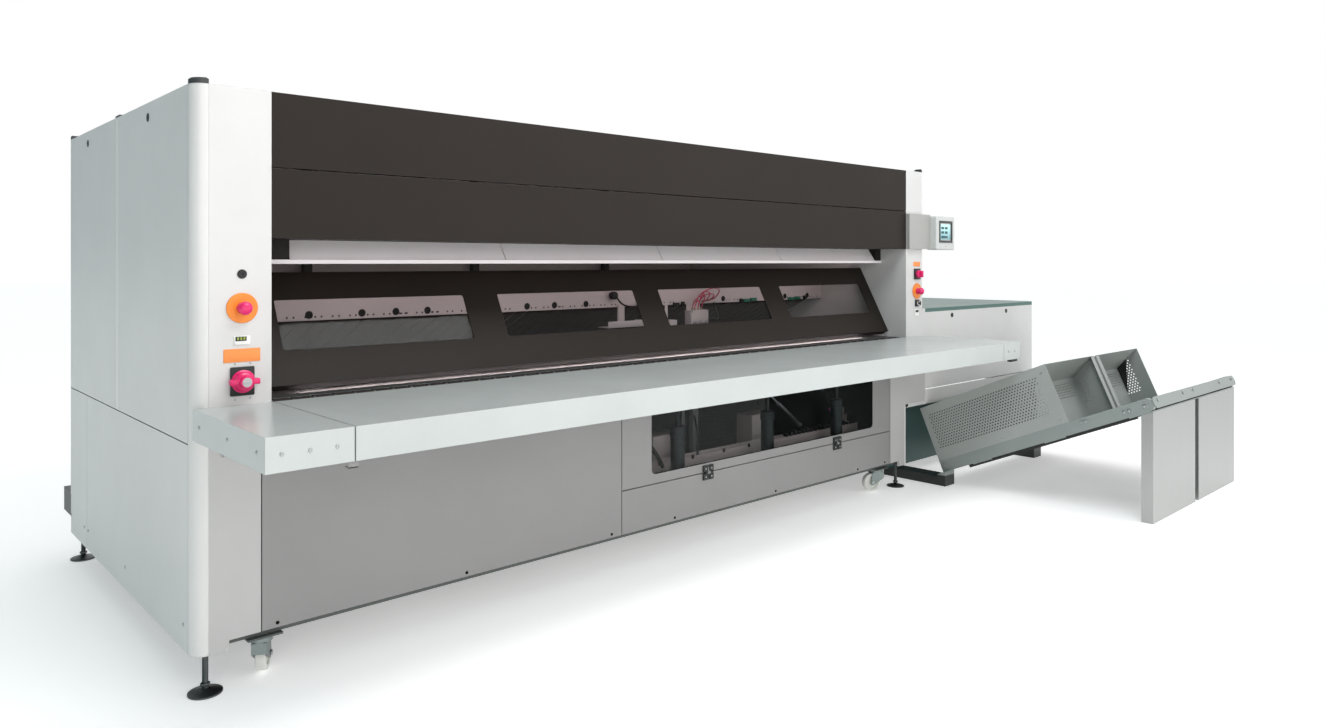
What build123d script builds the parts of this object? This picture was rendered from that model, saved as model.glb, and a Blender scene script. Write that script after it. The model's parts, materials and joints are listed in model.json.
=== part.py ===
from build123d import *
import math
import os

# A flatwork folder: the folding machine that stands behind a laundry's ironer line.  A wide machine body
# takes linen in under a windowed guard on a bed of narrow tapes, a cabinet at its right end makes the cross
# folds, and a sloping conveyor in front of that cabinet collects the folded stacks in two open bays.
# Millimetres.  x runs along the front from the left side, y runs from the front face to the back, z is up.

# ---- driving dimensions: machine body
BODY_WIDTH = 3934
BODY_DEPTH = 1750
BODY_HEIGHT = 1790
POST_RADIUS = 44            # rounded corner posts
POST_WALL = 4
CAP_HEIGHT = 18
LEFT_COLUMN = 222           # width of the left and right front columns, corner post included
RIGHT_COLUMN = 201
SHEET = 2                   # folded sheet covers
FLANGE = 24                 # depth of their folded edges
ROOF = 16                   # depth of the roof covers
SEAM = 4                    # open joint between two covers
PANEL_BOTTOM = 152          # lowest edge of the covers
LEG_BOTTOM = 122            # and of the corner legs
BED_HEIGHT = 845            # top of the bed's tapes, level with the table
LOWER_SETBACK = 174         # the lower front ends short of the right column, beside a recess
SIDE_SPLIT = 735            # joint between upper and lower side covers
MID_POST = 50
LOWER_SIDE_REAR = 359       # width of the rear lower side cover and its post
COVER_COLUMNS = 4           # rear and roof covers side by side
END_PLATE = 6               # inner plates that carry the rollers
# base
RAIL = 80
RAIL_WALL = 5
RAIL_BOTTOM = 132
RAIL_INSET = 26
CROSS_MEMBERS = 6                    # tubes from the front rail to the rear one
COUPLING_ARM = (8, 60, 150, 180, 281)    # x, width, reach behind the body, bottom and top of the rear arm
UPRIGHT = (40, 36)                   # width and depth of the uprights behind the covers
FRONT_FOLD = 12                      # depth of the front columns' folded edges
# front
FASCIA_SPLIT = BODY_HEIGHT - 234
FASCIA_BOTTOM = BODY_HEIGHT - 447
DEFLECTOR_COUNT = 4
DEFLECTOR_TOP_Y = 217
DEFLECTOR_LOW_Y = 172
DEFLECTOR_LOW_Z = FASCIA_BOTTOM - 65
DEFLECTOR_MARGIN = (121, 51)         # space left and right of the deflector plates
LIP = (14, 22, 8)                    # height, depth and overhang of the lip rail
# guard
GUARD_TOP = (305, FASCIA_BOTTOM - 108)   # y, z of the guard plane's top edge
GUARD_LOW = (114, BED_HEIGHT + 29)
GUARD_PLATE = 3
GUARD_FLANGE = 42
GUARD_GAP = 4                        # clearance at each end
WINDOWS = 4
WINDOW_GAP = 154                     # between two windows
WINDOW_MARGIN = 94.5                 # at both ends of the row
WINDOW_START = 104                   # along the slope, from the top edge
WINDOW_LENGTH = 183
WINDOW_CORNER = 8
PANE = 4
PANE_LAP = 14
GUARD_PIN = 6
RUN_FIT = 0.05                       # radial clearance of pins and journals
# tape conveyors
TAPE_PITCH = 67
TAPE_WIDTH = 59
TAPE = 3
TAPE_SLACK = 0.3                     # between the inside of a tape and its rollers
BED_FRONT = 42                       # y of the bed's front roller
BED_LENGTH = 1000
BED_ROLLER = 30
INCLINE_TOP = (694, 1064)            # y, z of the inclined tapes' upper roller
INCLINE_FOOT = (1098, 866)
INCLINE_ROLLER = 20
JOURNAL = 15
TAPE_END_FACES = 3                   # flat faces of each tape's turn round its roller
BED_PLATE = 4
BEARING = 60                         # square flange of each bearing unit
BEARING_DEPTH = 30
BEARING_FLANGE = 14
# inner beam
BEAM_Y = 600
BEAM_Z = (1047, 1153)
BEAM_DEPTH = 60
BEAM_HOLE = 15
BEAM_HOLES = 9
VALVE_BOX = (2560, 190, 58, 250)     # x, width, depth, height
BEAM_SHEET = 3
VALVE_RISE = 20                      # how far the valve box stands over the beam
CYLINDER_X = (2010, 2620, 3180)      # upright air cylinders behind the windowed door
CYLINDER = 32
CYLINDER_FOOT = (80, 60, 60)         # width, depth and height
CYLINDER_BODY = 270
CYLINDER_ROD = (10, 100)             # radius and length
CYLINDER_OFFSET = 10                 # behind the front rail's middle
# drive
GEAR_BOX = (90, 140, 160)            # width, depth and height of the gear housing
GEAR_GAP = 10                        # from the bearing to the housing
GEAR_DROP = 90                       # housing's underside below the roller's axis
GEAR_CHAMFER = 14
MOTOR = (44, 240)                    # radius and length
TORQUE_ARM = 16                      # thickness of the plate that holds it to the end plate
ROLLER_END = 6                       # between a roller's barrel and the end plates
JOURNAL_END = 8                      # journal past its bearing
DRIVE_END = 120                      # and past it at the gear housing
# table
TABLE_TOP = BED_HEIGHT
TABLE_DEPTH = 572
TABLE_APRON = 90
TABLE_SHEET = 3
TABLE_REAR = 6
TABLE_SPLITS = (LEFT_COLUMN + 5, BODY_WIDTH - RIGHT_COLUMN + 6)   # joints between end pieces and leaf
LEAF_PIN = 6
LEAF_AXIS = (-TABLE_REAR - 20, TABLE_TOP - 13)   # y, z of the leaf's hinge
LEAF_PIN_GRIP = 20                   # how far its pins reach into the leaf
TABLE_INSET = 10                     # from the right column's edge
SHELF_BRACKET = (60, 50, 4)          # width, length and thickness
SHELF_INSET = 20
GUSSET = (60, 5)                     # leg and thickness of the gussets under the end pieces
GUSSET_INSETS = (80, 60)             # from the left end and the right end
# lower front
FRONT_SPLITS = (195, 1624, BODY_WIDTH - 358)   # joints between the lower front covers
LEG_STEP = 100                       # the leg covers reach down to LEG_BOTTOM for this width
DOOR_BOTTOM = 333
DOOR_TOP = TABLE_TOP - TABLE_APRON - 13
DOOR_MARGINS = (163, 164, 39, 78)    # left, right, below and above the door's window
DOOR_WINDOW_CORNER = 22
HINGE_INSETS = (501, 489)            # from the door's left and right edges
HINGE_SIZE = 48
HINGE_PLATE = 5
HINGE_BARREL = 6
HINGE_PIN = 3
HINGE_PLAY = 0.4                     # between two knuckles
# feet and casters
FOOT_PAD = 48
FOOT_STEM = 9
FOOT_NUT = 17
FOOT_Y = 42                          # from the front and from the back
FOOT_X = (46, BODY_WIDTH - 244)
CASTER_X = (208, BODY_WIDTH - 422)
CASTER_PLATE = (104, 84, 6)
CASTER_Y = 49
WHEEL = 50
WHEEL_WIDTH = 32
WHEEL_CLEAR = 4                      # the machine stands on its feet, its casters just off the floor
CASTER_TRAIL = 34
CASTER_AXLE = 6
KINGPIN = 9
CASTER_TURNS = (60, 120, 154, 200)   # rest directions: front left, rear left, front right, rear right
CROWN = (34, 16)                     # radius and height of the fork's crown
FORK_SHEET = 4
FORK_SKIRT = 34                      # depth of the skirt that closes the fork in front of its wheel
HUB = (13, 34)                       # radii of the wheel's hub and of the inside of its rim
WHEEL_DISH = 6                       # how far the web between them stands back
# controls
STOP_DISC = 45
STOP_HEAD = 20
STOP_DOME = (12, 15, 17)             # height of the head's rim, radius and height of its crown
STOP_COLLAR = 22
STOP_STEM = 11
STOP_TRAVEL = 5
STOP_Z = (1133, 1103)                # left and right emergency stop
CONTROL_X = (136, BODY_WIDTH - 90)   # centre of the left and right column's controls
ISOLATOR_Z = 915
SELECTOR_Z = 1201
KEY_Z = 1034
SWITCH_PLATE = 8
SWITCH_SHAFT = 6
SWITCH_GAP = 0.3                     # between a knob and its plate
BLANKS = (                           # blank labels and the counter: x, z, width, height, thickness
    (CONTROL_X[0], 992, 105, 40, 1.5), (CONTROL_X[0], 1037, 46, 26, 4),
    (CONTROL_X[1], 1258, 70, 26, 1.5), (CONTROL_X[1], 979, 40, 38, 3),
)
PLUG = 14                            # round quarter-turn locks
PLUG_PROUD = 3
LEFT_PLUG_Z = 1234
SIDE_PLUGS = (481, 1374)             # y of the side covers' locks
SIDE_PLUG_DROP = 48
# hmi
# x and z of the operator panel's housing
HMI = (BODY_WIDTH + 22, BODY_WIDTH + 224, BODY_HEIGHT - 449, BODY_HEIGHT - 254)
HMI_DEPTH = 62
HMI_ARM = 22
SCREEN = (125, 106, 3)               # width, height and depth
SCREEN_RISE = 8
# stack conveyor's width, and the cross-folder cabinet behind it
STACK_WIDTH = 1280
CROSS_WIDTH = STACK_WIDTH + 145
CROSS_TOP = 1000
CROSS_BOTTOM = 437
CROSS_SEAM = 530                     # joint between the cabinet's upper and lower front covers
CROSS_CORNER = 80
CROSS_LID = 22
CROSS_LID_SPLIT = 250
CROSS_RECESS = 170                   # how far the lower panel stands back
CROSS_ROLL = 25                      # radius of the upper covers' rolled lower edge
CROSS_BASE = 60
CROSS_POST = RAIL_BOTTOM - CROSS_BASE   # so that the body's frame rests on the cabinet's rails
CROSS_FOOT_INSET = 110
CROSS_PLUGS = (304, 991)             # x of the front locks, from the cabinet's left side
CROSS_PLUG_Z = 950
# stack conveyor
STACK_LEFT = BODY_WIDTH + 10
STACK_SLOPE = 23.5
STACK_FOOT = (-112, 63)              # y, z of the lowest rear corner of its side rails
RAIL_LENGTH = 1206
STACK_RAIL = 65
STACK_RAIL_WIDTH = 30
STACK_ROLLER = 27
STACK_BELT = 3
BELT_GAP = 30                        # beside and between the two belts
TIE = (5, 120)                       # thickness and width of the flat ties under the rails
TIES = (200, 640, 1100)
NOSE = 30                            # rails past the head roller
HEAD_GUARD = (20, 45)                # from and to, square to the slope: the strip between the rails' noses
BAY_LENGTH = 807                     # side panel along the slope
BAY_HEIGHT = 380
BAY_BACK = 155                       # back wall's distance behind the bay's open front
BAY_DROP = 76
BAY_FLANGE = 40
BAY_GAP = 30
LEG_PLATE = 55
LEG_PLATE_Y = -1205
LEG_PLATES = ((0, 606), (662, STACK_WIDTH))
LEG_WALL = 3
TAIL_CHANNEL = (100, 52, 48)         # width, height, and length under the rails' tail
TAIL_INSETS = (-64, 140)

nodes = {}


def add(name, *solids):
    nodes.setdefault(name, []).extend(solids)


def block(x, y, z):
    """A box between the low and high values of x, y and z."""
    return Pos(x[0], y[0], z[0]) * Box(x[1] - x[0], y[1] - y[0], z[1] - z[0], align=(Align.MIN,) * 3)


def rod_x(radius, x, y, z):
    """A round bar along x."""
    return Pos(x[0], y, z) * Rot(0, 90, 0) * rod_z(radius, 0, 0, (0, x[1] - x[0]))


def rod_y(radius, x, y, z):
    """A round bar along y."""
    return Pos(x, y[0], z) * Rot(-90, 0, 0) * rod_z(radius, 0, 0, (0, y[1] - y[0]))


def rod_z(radius, x, y, z):
    return Pos(x, y, z[0]) * Cylinder(radius, z[1] - z[0], align=(Align.CENTER, Align.CENTER, Align.MIN))


def cover(x, y, z, open_side, wall=SHEET):
    """A sheet cover with folded edges: a shallow tray that is open on one side."""
    low = [x[0] + wall, y[0] + wall, z[0] + wall]
    high = [x[1] - wall, y[1] - wall, z[1] - wall]
    axis = "xyz".index(open_side[1])
    if open_side[0] == "+":
        high[axis] += 2 * wall
    else:
        low[axis] -= 2 * wall
    return block(x, y, z) - block(*zip(low, high))


def tube_x(x, y, z, wall=RAIL_WALL):
    """A square tube along x."""
    inner_y = (y[0] + wall, y[1] - wall)
    return block(x, y, z) - block((x[0] - 1, x[1] + 1), inner_y, (z[0] + wall, z[1] - wall))


def tube_y(x, y, z, wall=RAIL_WALL):
    inner_x = (x[0] + wall, x[1] - wall)
    return block(x, y, z) - block(inner_x, (y[0] - 1, y[1] + 1), (z[0] + wall, z[1] - wall))


def extrude_x(points, x):
    """A prism along x whose section is a closed line through (y, z) points."""
    face = make_face(Polyline(*[(0, py, pz) for py, pz in points], close=True))
    return Pos(x[0], 0, 0) * extrude(face, amount=x[1] - x[0], dir=(1, 0, 0))


def front_cover(points, depth, wall=SHEET):
    """A sheet cover of any outline in the front plane, through (x, z) points, open at the back."""
    outline = make_face(Polyline(*points, close=True))
    inside = offset(outline, -wall, kind=Kind.INTERSECTION)
    tray = extrude(outline, amount=-depth) - Pos(0, 0, -wall) * extrude(inside, amount=-depth)
    return Rot(90, 0, 0) * tray


right_column = BODY_WIDTH - RIGHT_COLUMN
opening = (LEFT_COLUMN, right_column)
lower_right = BODY_WIDTH - LOWER_SETBACK
roll_top = CROSS_BOTTOM + CROSS_ROLL
rail_z = (RAIL_BOTTOM, RAIL_BOTTOM + RAIL)
front_rail_y = (RAIL_INSET, RAIL_INSET + RAIL)
rear_rail_y = (BODY_DEPTH - RAIL_INSET - RAIL, BODY_DEPTH - RAIL_INSET)

# ---- base frame: square tubes on four levelling feet, with a plate and a kingpin for each caster
front_rail_x = (RAIL_INSET, lower_right - RAIL_INSET)
rear_rail_x = (RAIL_INSET, BODY_WIDTH - RAIL_INSET)
add("base_frame", tube_x(front_rail_x, front_rail_y, rail_z), tube_x(rear_rail_x, rear_rail_y, rail_z))
for i in range(CROSS_MEMBERS):
    member_x = front_rail_x[0] + i * (front_rail_x[1] - front_rail_x[0] - RAIL) / (CROSS_MEMBERS - 1)
    add("base_frame", tube_y((member_x, member_x + RAIL), (front_rail_y[1], rear_rail_y[0]), rail_z))
# the member under the right side stands back behind the recess, on the cabinet's front rail
side_member_x = (rear_rail_x[1] - RAIL, rear_rail_x[1])
add("base_frame", tube_y(side_member_x, (CROSS_RECESS + SHEET, rear_rail_y[0]), rail_z))
arm_x, arm_width, arm_reach, arm_low, arm_high = COUPLING_ARM
arm_y = (rear_rail_y[1], BODY_DEPTH + arm_reach)
add("base_frame", tube_y((arm_x, arm_x + arm_width), arm_y, (arm_low, arm_high)))

# ---- inner end plates, drilled for the journals and the guard's pins
guard_run = math.hypot(GUARD_TOP[0] - GUARD_LOW[0], GUARD_TOP[1] - GUARD_LOW[1])
guard_tilt = math.degrees(math.atan2(GUARD_TOP[0] - GUARD_LOW[0], GUARD_TOP[1] - GUARD_LOW[1]))
# the guard's own directions: x along it, y behind its face, z up its slope from the low edge
guard_place = Pos(0, GUARD_LOW[0], GUARD_LOW[1]) * Rot(-guard_tilt, 0, 0)


def on_guard(depth, height):
    """The y and z of a point of the guard's section: depth behind its face, height up its slope."""
    point = guard_place * Pos(0, depth, height)
    return point.position.Y, point.position.Z


guard_axis = on_guard(GUARD_FLANGE / 2, guard_run - GUARD_FLANGE / 2)
bed_roller_z = BED_HEIGHT - TAPE - BED_ROLLER
rollers = {
    "bed_front_roller": (BED_FRONT, bed_roller_z, BED_ROLLER),
    "bed_rear_roller": (BED_FRONT + BED_LENGTH, bed_roller_z, BED_ROLLER),
    "incline_upper_roller": (*INCLINE_TOP, INCLINE_ROLLER),
    "incline_lower_roller": (*INCLINE_FOOT, INCLINE_ROLLER),
}
lower_y = (2, 2 + FLANGE)            # the lower front covers stand 2 mm behind the columns
column_low = TABLE_TOP - TABLE_APRON - SEAM
plate_y = (FRONT_FOLD, rear_rail_y[1])
plate_z = (rail_z[1], BODY_HEIGHT - ROOF)
for plate_x in ((opening[0] - END_PLATE, opening[0]), (opening[1], opening[1] + END_PLATE)):
    plate = block(plate_x, plate_y, plate_z)
    for roller_y, roller_z, _ in rollers.values():
        plate -= rod_x(JOURNAL + 3, (plate_x[0] - 1, plate_x[1] + 1), roller_y, roller_z)
    plate -= rod_x(GUARD_PIN + RUN_FIT, (plate_x[0] - 1, plate_x[1] + 1), *guard_axis)
    plate -= block((plate_x[0] - 1, plate_x[1] + 1), (0, lower_y[1]), (0, column_low))
    add("inner_end_plates", plate)

# ---- posts, caps and covers of the casing
mid_y = (BODY_DEPTH + POST_RADIUS - MID_POST) / 2
lower_side_y = BODY_DEPTH - LOWER_SIDE_REAR


def corner_section(x_sign, y_sign, wall=0):
    """A quarter round with its centre at the post's inner corner."""
    radius = POST_RADIUS - wall
    square = Pos(x_sign * radius / 2, y_sign * radius / 2) * Rectangle(radius, radius)
    return Circle(radius) & square


# the rear left post starts over the coupling arm, the right ones over the cabinet and over its rear rail
side_low = RAIL_BOTTOM + SEAM
post_lows = {(-1, -1): LEG_BOTTOM, (-1, 1): arm_high + SEAM, (1, -1): CROSS_TOP, (1, 1): side_low}
for x_sign, post_x in ((-1, POST_RADIUS), (1, BODY_WIDTH - POST_RADIUS)):
    for y_sign, post_y in ((-1, POST_RADIUS), (1, BODY_DEPTH - POST_RADIUS)):
        profile = corner_section(x_sign, y_sign) - corner_section(x_sign, y_sign, POST_WALL)
        # a screw flange that lies on the upright behind it
        flange_at = Pos(x_sign * (POST_RADIUS - FLANGE + POST_WALL / 2), y_sign * POST_RADIUS / 2)
        profile += flange_at * Rectangle(POST_WALL, POST_RADIUS) & corner_section(x_sign, y_sign, POST_WALL / 2)
        post_low = post_lows[x_sign, y_sign]
        add("corner_posts", Pos(post_x, post_y, post_low) * extrude(profile, amount=BODY_HEIGHT - post_low))
        cap = extrude(corner_section(x_sign, y_sign), amount=CAP_HEIGHT)
        cap = chamfer(cap.faces().sort_by(Axis.Z)[-1].edges(), 5)
        add("post_caps", Pos(post_x, post_y, BODY_HEIGHT) * cap)
    if x_sign > 0:
        # the short post at the lower front's right end
        foot_profile = corner_section(1, -1) - corner_section(1, -1, POST_WALL)
        foot_post = extrude(foot_profile, amount=roll_top - LEG_BOTTOM)
        add("corner_posts", Pos(lower_right - POST_RADIUS, POST_RADIUS, LEG_BOTTOM) * foot_post)
    post_x = (0, FLANGE) if x_sign < 0 else (BODY_WIDTH - FLANGE, BODY_WIDTH)
    add("corner_posts", block(post_x, (mid_y, mid_y + MID_POST), (SIDE_SPLIT + SEAM, BODY_HEIGHT)))
    cap = block(post_x, (mid_y, mid_y + MID_POST), (BODY_HEIGHT, BODY_HEIGHT + CAP_HEIGHT / 2))
    add("post_caps", chamfer(cap.faces().sort_by(Axis.Z)[-1].edges(), 3))

# uprights on the base, which the covers seat on
upright_z = (rail_z[1], BODY_HEIGHT - ROOF)
upright_y = ((FRONT_FOLD, FRONT_FOLD + UPRIGHT[1] + 12), (mid_y, mid_y + MID_POST),
             (BODY_DEPTH - FLANGE - UPRIGHT[1], BODY_DEPTH - FLANGE))
side_upright_x = (BODY_WIDTH - FLANGE - UPRIGHT[0], BODY_WIDTH - FLANGE)
for span_y in upright_y:
    add("base_frame", block((FLANGE, FLANGE + UPRIGHT[0]), span_y, upright_z))
for span_y in upright_y[1:]:
    add("base_frame", block(side_upright_x, span_y, upright_z))
# the right column is carried over the recess by an arm from the middle upright
arm_z = (CROSS_BOTTOM + SHEET, CROSS_BOTTOM + SHEET + UPRIGHT[0])
add("base_frame", block(side_upright_x, (CROSS_ROLL, upright_y[1][0]), arm_z))
add("base_frame", block(side_upright_x, upright_y[0], (arm_z[1], upright_z[1])))
add("base_frame", block((opening[1] - UPRIGHT[0], opening[1]), upright_y[0], (rail_z[1], CROSS_BOTTOM)))

# side covers: two above and two below on each side
side_rows = (
    ((POST_RADIUS + SEAM / 2, mid_y - SEAM / 2), (SIDE_SPLIT + SEAM, BODY_HEIGHT)),
    ((mid_y + MID_POST + SEAM / 2, BODY_DEPTH - POST_RADIUS - SEAM / 2), (SIDE_SPLIT + SEAM, BODY_HEIGHT)),
    ((POST_RADIUS + SEAM / 2, lower_side_y), (LEG_BOTTOM, SIDE_SPLIT)),
    ((lower_side_y + SEAM, BODY_DEPTH - POST_RADIUS - SEAM / 2), (LEG_BOTTOM, SIDE_SPLIT)),
)
for span_y, span_z in side_rows:
    add("side_panels", cover((0, FLANGE), span_y, span_z, "+x"))
    # the lower ones on the right stand behind the recess and over the cabinet's rails
    right_y = (span_y[0] if span_z[0] > SIDE_SPLIT else max(span_y[0], CROSS_RECESS + SHEET), span_y[1])
    right_z = (max(span_z[0], side_low), span_z[1])
    add("side_panels", cover((BODY_WIDTH - FLANGE, BODY_WIDTH), right_y, right_z, "-x"))
lower_side_x = (lower_right - FRONT_FOLD, lower_right)
lower_side_z = (LEG_BOTTOM, CROSS_BOTTOM)
add("side_panels", cover(lower_side_x, (POST_RADIUS + SEAM / 2, CROSS_RECESS), lower_side_z, "-x"))

# rear covers and roof
casing_x = (POST_RADIUS + SEAM / 2, BODY_WIDTH - POST_RADIUS - SEAM / 2)
cover_pitch = (casing_x[1] - casing_x[0] + SEAM) / COVER_COLUMNS
for i in range(COVER_COLUMNS):
    span_x = (casing_x[0] + i * cover_pitch, casing_x[0] + (i + 1) * cover_pitch - SEAM)
    low_x = (max(span_x[0], arm_x + arm_width + SEAM), span_x[1])
    add("rear_panels", cover(low_x, (BODY_DEPTH - FLANGE, BODY_DEPTH), (PANEL_BOTTOM, SIDE_SPLIT), "-y"))
    add("rear_panels", cover(span_x, (BODY_DEPTH - FLANGE, BODY_DEPTH), (SIDE_SPLIT + SEAM, BODY_HEIGHT), "-y"))
    roof_y = (FLANGE + SEAM, BODY_DEPTH - FLANGE - SEAM)
    add("roof_panels", cover(span_x, roof_y, (BODY_HEIGHT - ROOF, BODY_HEIGHT), "-z"))
    if i:
        seam_x = (span_x[0] - SEAM / 2 - UPRIGHT[0] / 2, span_x[0] - SEAM / 2 + UPRIGHT[0] / 2)
        add("base_frame", block(seam_x, upright_y[2], upright_z))

# ---- front of the casing: fascias, deflector, columns
add("upper_fascia", cover(opening, (0, FLANGE), (FASCIA_SPLIT + SEAM, BODY_HEIGHT - 1), "+y"))
fascia_section = [
    (0, FASCIA_SPLIT), (FLANGE, FASCIA_SPLIT), (FLANGE, FASCIA_SPLIT - SHEET), (SHEET, FASCIA_SPLIT - SHEET),
    (SHEET, FASCIA_BOTTOM + SHEET), (DEFLECTOR_TOP_Y, FASCIA_BOTTOM + SHEET), (DEFLECTOR_TOP_Y, FASCIA_BOTTOM),
    (0, FASCIA_BOTTOM),
]
add("lower_fascia", extrude_x(fascia_section, opening))
deflector_section = [
    (DEFLECTOR_TOP_Y, FASCIA_BOTTOM), (DEFLECTOR_LOW_Y, DEFLECTOR_LOW_Z),
    (DEFLECTOR_LOW_Y + SHEET, DEFLECTOR_LOW_Z), (DEFLECTOR_TOP_Y + 2 * SHEET, FASCIA_BOTTOM),
]
deflector_x = (opening[0] + DEFLECTOR_MARGIN[0], opening[1] - DEFLECTOR_MARGIN[1])
deflector_pitch = (deflector_x[1] - deflector_x[0]) / DEFLECTOR_COUNT
for i in range(DEFLECTOR_COUNT):
    start = deflector_x[0] + i * deflector_pitch
    add("deflector_plates", extrude_x(deflector_section, (start, start + deflector_pitch - SEAM)))
lip_z = (DEFLECTOR_LOW_Z - LIP[0], DEFLECTOR_LOW_Z)
lip_y = (DEFLECTOR_LOW_Y - LIP[2], DEFLECTOR_LOW_Y - LIP[2] + LIP[1])
add("deflector_plates", block(opening, lip_y, lip_z))
end_section = [
    (DEFLECTOR_TOP_Y, FASCIA_BOTTOM), (DEFLECTOR_LOW_Y - 2 * SHEET, FASCIA_BOTTOM),
    (DEFLECTOR_LOW_Y - 2 * SHEET, DEFLECTOR_LOW_Z), (DEFLECTOR_LOW_Y, DEFLECTOR_LOW_Z),
]
add("lower_fascia", extrude_x(end_section, (opening[0], deflector_x[0] - SEAM)))
add("lower_fascia", extrude_x(end_section, (deflector_x[1], opening[1])))

front_y = (0, FRONT_FOLD)
add("column_covers", cover((POST_RADIUS, opening[0]), front_y, (column_low, BODY_HEIGHT), "+y"))
add("column_covers", cover((opening[1], BODY_WIDTH - POST_RADIUS), front_y, (column_low, BODY_HEIGHT), "+y"))
add("column_covers", cover((BODY_WIDTH - POST_RADIUS, BODY_WIDTH), front_y, (column_low, CROSS_TOP), "+y"))

# ---- lower front: leg covers, fixed cover, kick panel
leg_top = column_low - SEAM
add("leg_panels", front_cover([
    (POST_RADIUS, LEG_BOTTOM), (LEG_STEP, LEG_BOTTOM), (LEG_STEP, PANEL_BOTTOM),
    (FRONT_SPLITS[0] - SEAM, PANEL_BOTTOM), (FRONT_SPLITS[0] - SEAM, leg_top), (POST_RADIUS, leg_top),
], FRONT_FOLD))
right_step = lower_right - LEG_STEP
add("leg_panels", front_cover([
    (FRONT_SPLITS[2], PANEL_BOTTOM), (right_step, PANEL_BOTTOM), (right_step, LEG_BOTTOM),
    (lower_right - POST_RADIUS, LEG_BOTTOM), (lower_right - POST_RADIUS, roll_top), (BODY_WIDTH, roll_top),
    (BODY_WIDTH, leg_top), (FRONT_SPLITS[2], leg_top),
], FRONT_FOLD))
front_panel_x = (FRONT_SPLITS[0], FRONT_SPLITS[1] - SEAM)
kick_panel_x = (FRONT_SPLITS[1], FRONT_SPLITS[2] - SEAM)
add("front_panel", cover(front_panel_x, lower_y, (PANEL_BOTTOM, DOOR_TOP), "+y"))
add("kick_panel", cover(kick_panel_x, lower_y, (PANEL_BOTTOM, DOOR_BOTTOM - SEAM), "+y"))

# ---- windowed door on two square hinges
door_x = kick_panel_x
door = cover(door_x, lower_y, (DOOR_BOTTOM, DOOR_TOP), "+y")
view_x = (door_x[0] + DOOR_MARGINS[0], door_x[1] - DOOR_MARGINS[1])
view_z = (DOOR_BOTTOM + DOOR_MARGINS[2], DOOR_TOP - DOOR_MARGINS[3])
window_face = RectangleRounded(view_x[1] - view_x[0], view_z[1] - view_z[0], DOOR_WINDOW_CORNER)
window_at = Pos(sum(view_x) / 2, 0, sum(view_z) / 2) * Rot(90, 0, 0)
door -= window_at * extrude(window_face, amount=2 * FLANGE, both=True)
add("access_door", door)
pane_x = (view_x[0] - PANE_LAP, view_x[1] + PANE_LAP)
pane_z = (view_z[0] - PANE_LAP, view_z[1] + PANE_LAP)
add("door_pane", block(pane_x, (lower_y[0] + SHEET, lower_y[0] + SHEET + PANE), pane_z))
hinge_z = DOOR_BOTTOM - SEAM / 2
hinge_y = lower_y[0] - HINGE_BARREL
for hinge_x in (door_x[0] + HINGE_INSETS[0], door_x[1] - HINGE_INSETS[1]):
    third = HINGE_SIZE / 3
    span = (hinge_x - HINGE_SIZE / 2, hinge_x + HINGE_SIZE / 2)
    leaf_reach = (HINGE_BARREL + 1, HINGE_SIZE / 2)
    leaf_y = (lower_y[0] - HINGE_PLATE, lower_y[0])
    fixed = block(span, leaf_y, (hinge_z - leaf_reach[1], hinge_z - leaf_reach[0]))
    moving = block(span, leaf_y, (hinge_z + leaf_reach[0], hinge_z + leaf_reach[1]))
    for k in range(3):
        part_x = (span[0] + k * third + HINGE_PLAY / 2, span[0] + (k + 1) * third - HINGE_PLAY / 2)
        barrel = rod_x(HINGE_BARREL, part_x, hinge_y, hinge_z)
        side = -1 if k != 1 else 1
        web_z = sorted((hinge_z + side * (HINGE_BARREL - 4), hinge_z + side * (leaf_reach[0] + 1)))
        web = block(part_x, (hinge_y - 1, leaf_y[1] - 1), web_z)
        if k == 1:
            moving += (barrel + web) - rod_x(HINGE_PIN + RUN_FIT, (span[0], span[1]), hinge_y, hinge_z)
        else:
            fixed += barrel + web
    fixed += rod_x(HINGE_PIN, span, hinge_y, hinge_z)
    add("door_hinges", fixed)
    add("access_door", moving)

# ---- table: two fixed end pieces and a leaf that lifts on pins between them
table_y = (-TABLE_REAR - TABLE_DEPTH, -TABLE_REAR)
table_z = (TABLE_TOP - TABLE_APRON, TABLE_TOP)
left_end_x = (0, TABLE_SPLITS[0] - SEAM / 2)
right_end_x = (TABLE_SPLITS[1] + SEAM / 2, BODY_WIDTH - TABLE_INSET)
leaf_x = (TABLE_SPLITS[0] + SEAM / 2, TABLE_SPLITS[1] - SEAM / 2)
end_y = (table_y[0], 0)
for end_x in (left_end_x, right_end_x):
    add("table_ends", cover(end_x, end_y, table_z, "-z", TABLE_SHEET))
leaf = cover(leaf_x, table_y, table_z, "-z", TABLE_SHEET)
leaf -= rod_x(LEAF_PIN + RUN_FIT, leaf_x, *LEAF_AXIS)
add("table_leaf", leaf)
for pin_x in ((left_end_x[1], leaf_x[0] + LEAF_PIN_GRIP), (leaf_x[1] - LEAF_PIN_GRIP, right_end_x[0])):
    add("table_brackets", rod_x(LEAF_PIN, pin_x, *LEAF_AXIS))
# shelf brackets under the leaf's front corners, bolted to the end pieces
shelf_y = (table_y[0] + SHELF_INSET, table_y[0] + SHELF_INSET + SHELF_BRACKET[1])
for joint_x in TABLE_SPLITS:
    reach = (joint_x - SHELF_BRACKET[0] / 2, joint_x + SHELF_BRACKET[0] / 2)
    add("table_brackets", block(reach, shelf_y, (table_z[0] - SHELF_BRACKET[2], table_z[0])))
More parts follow.
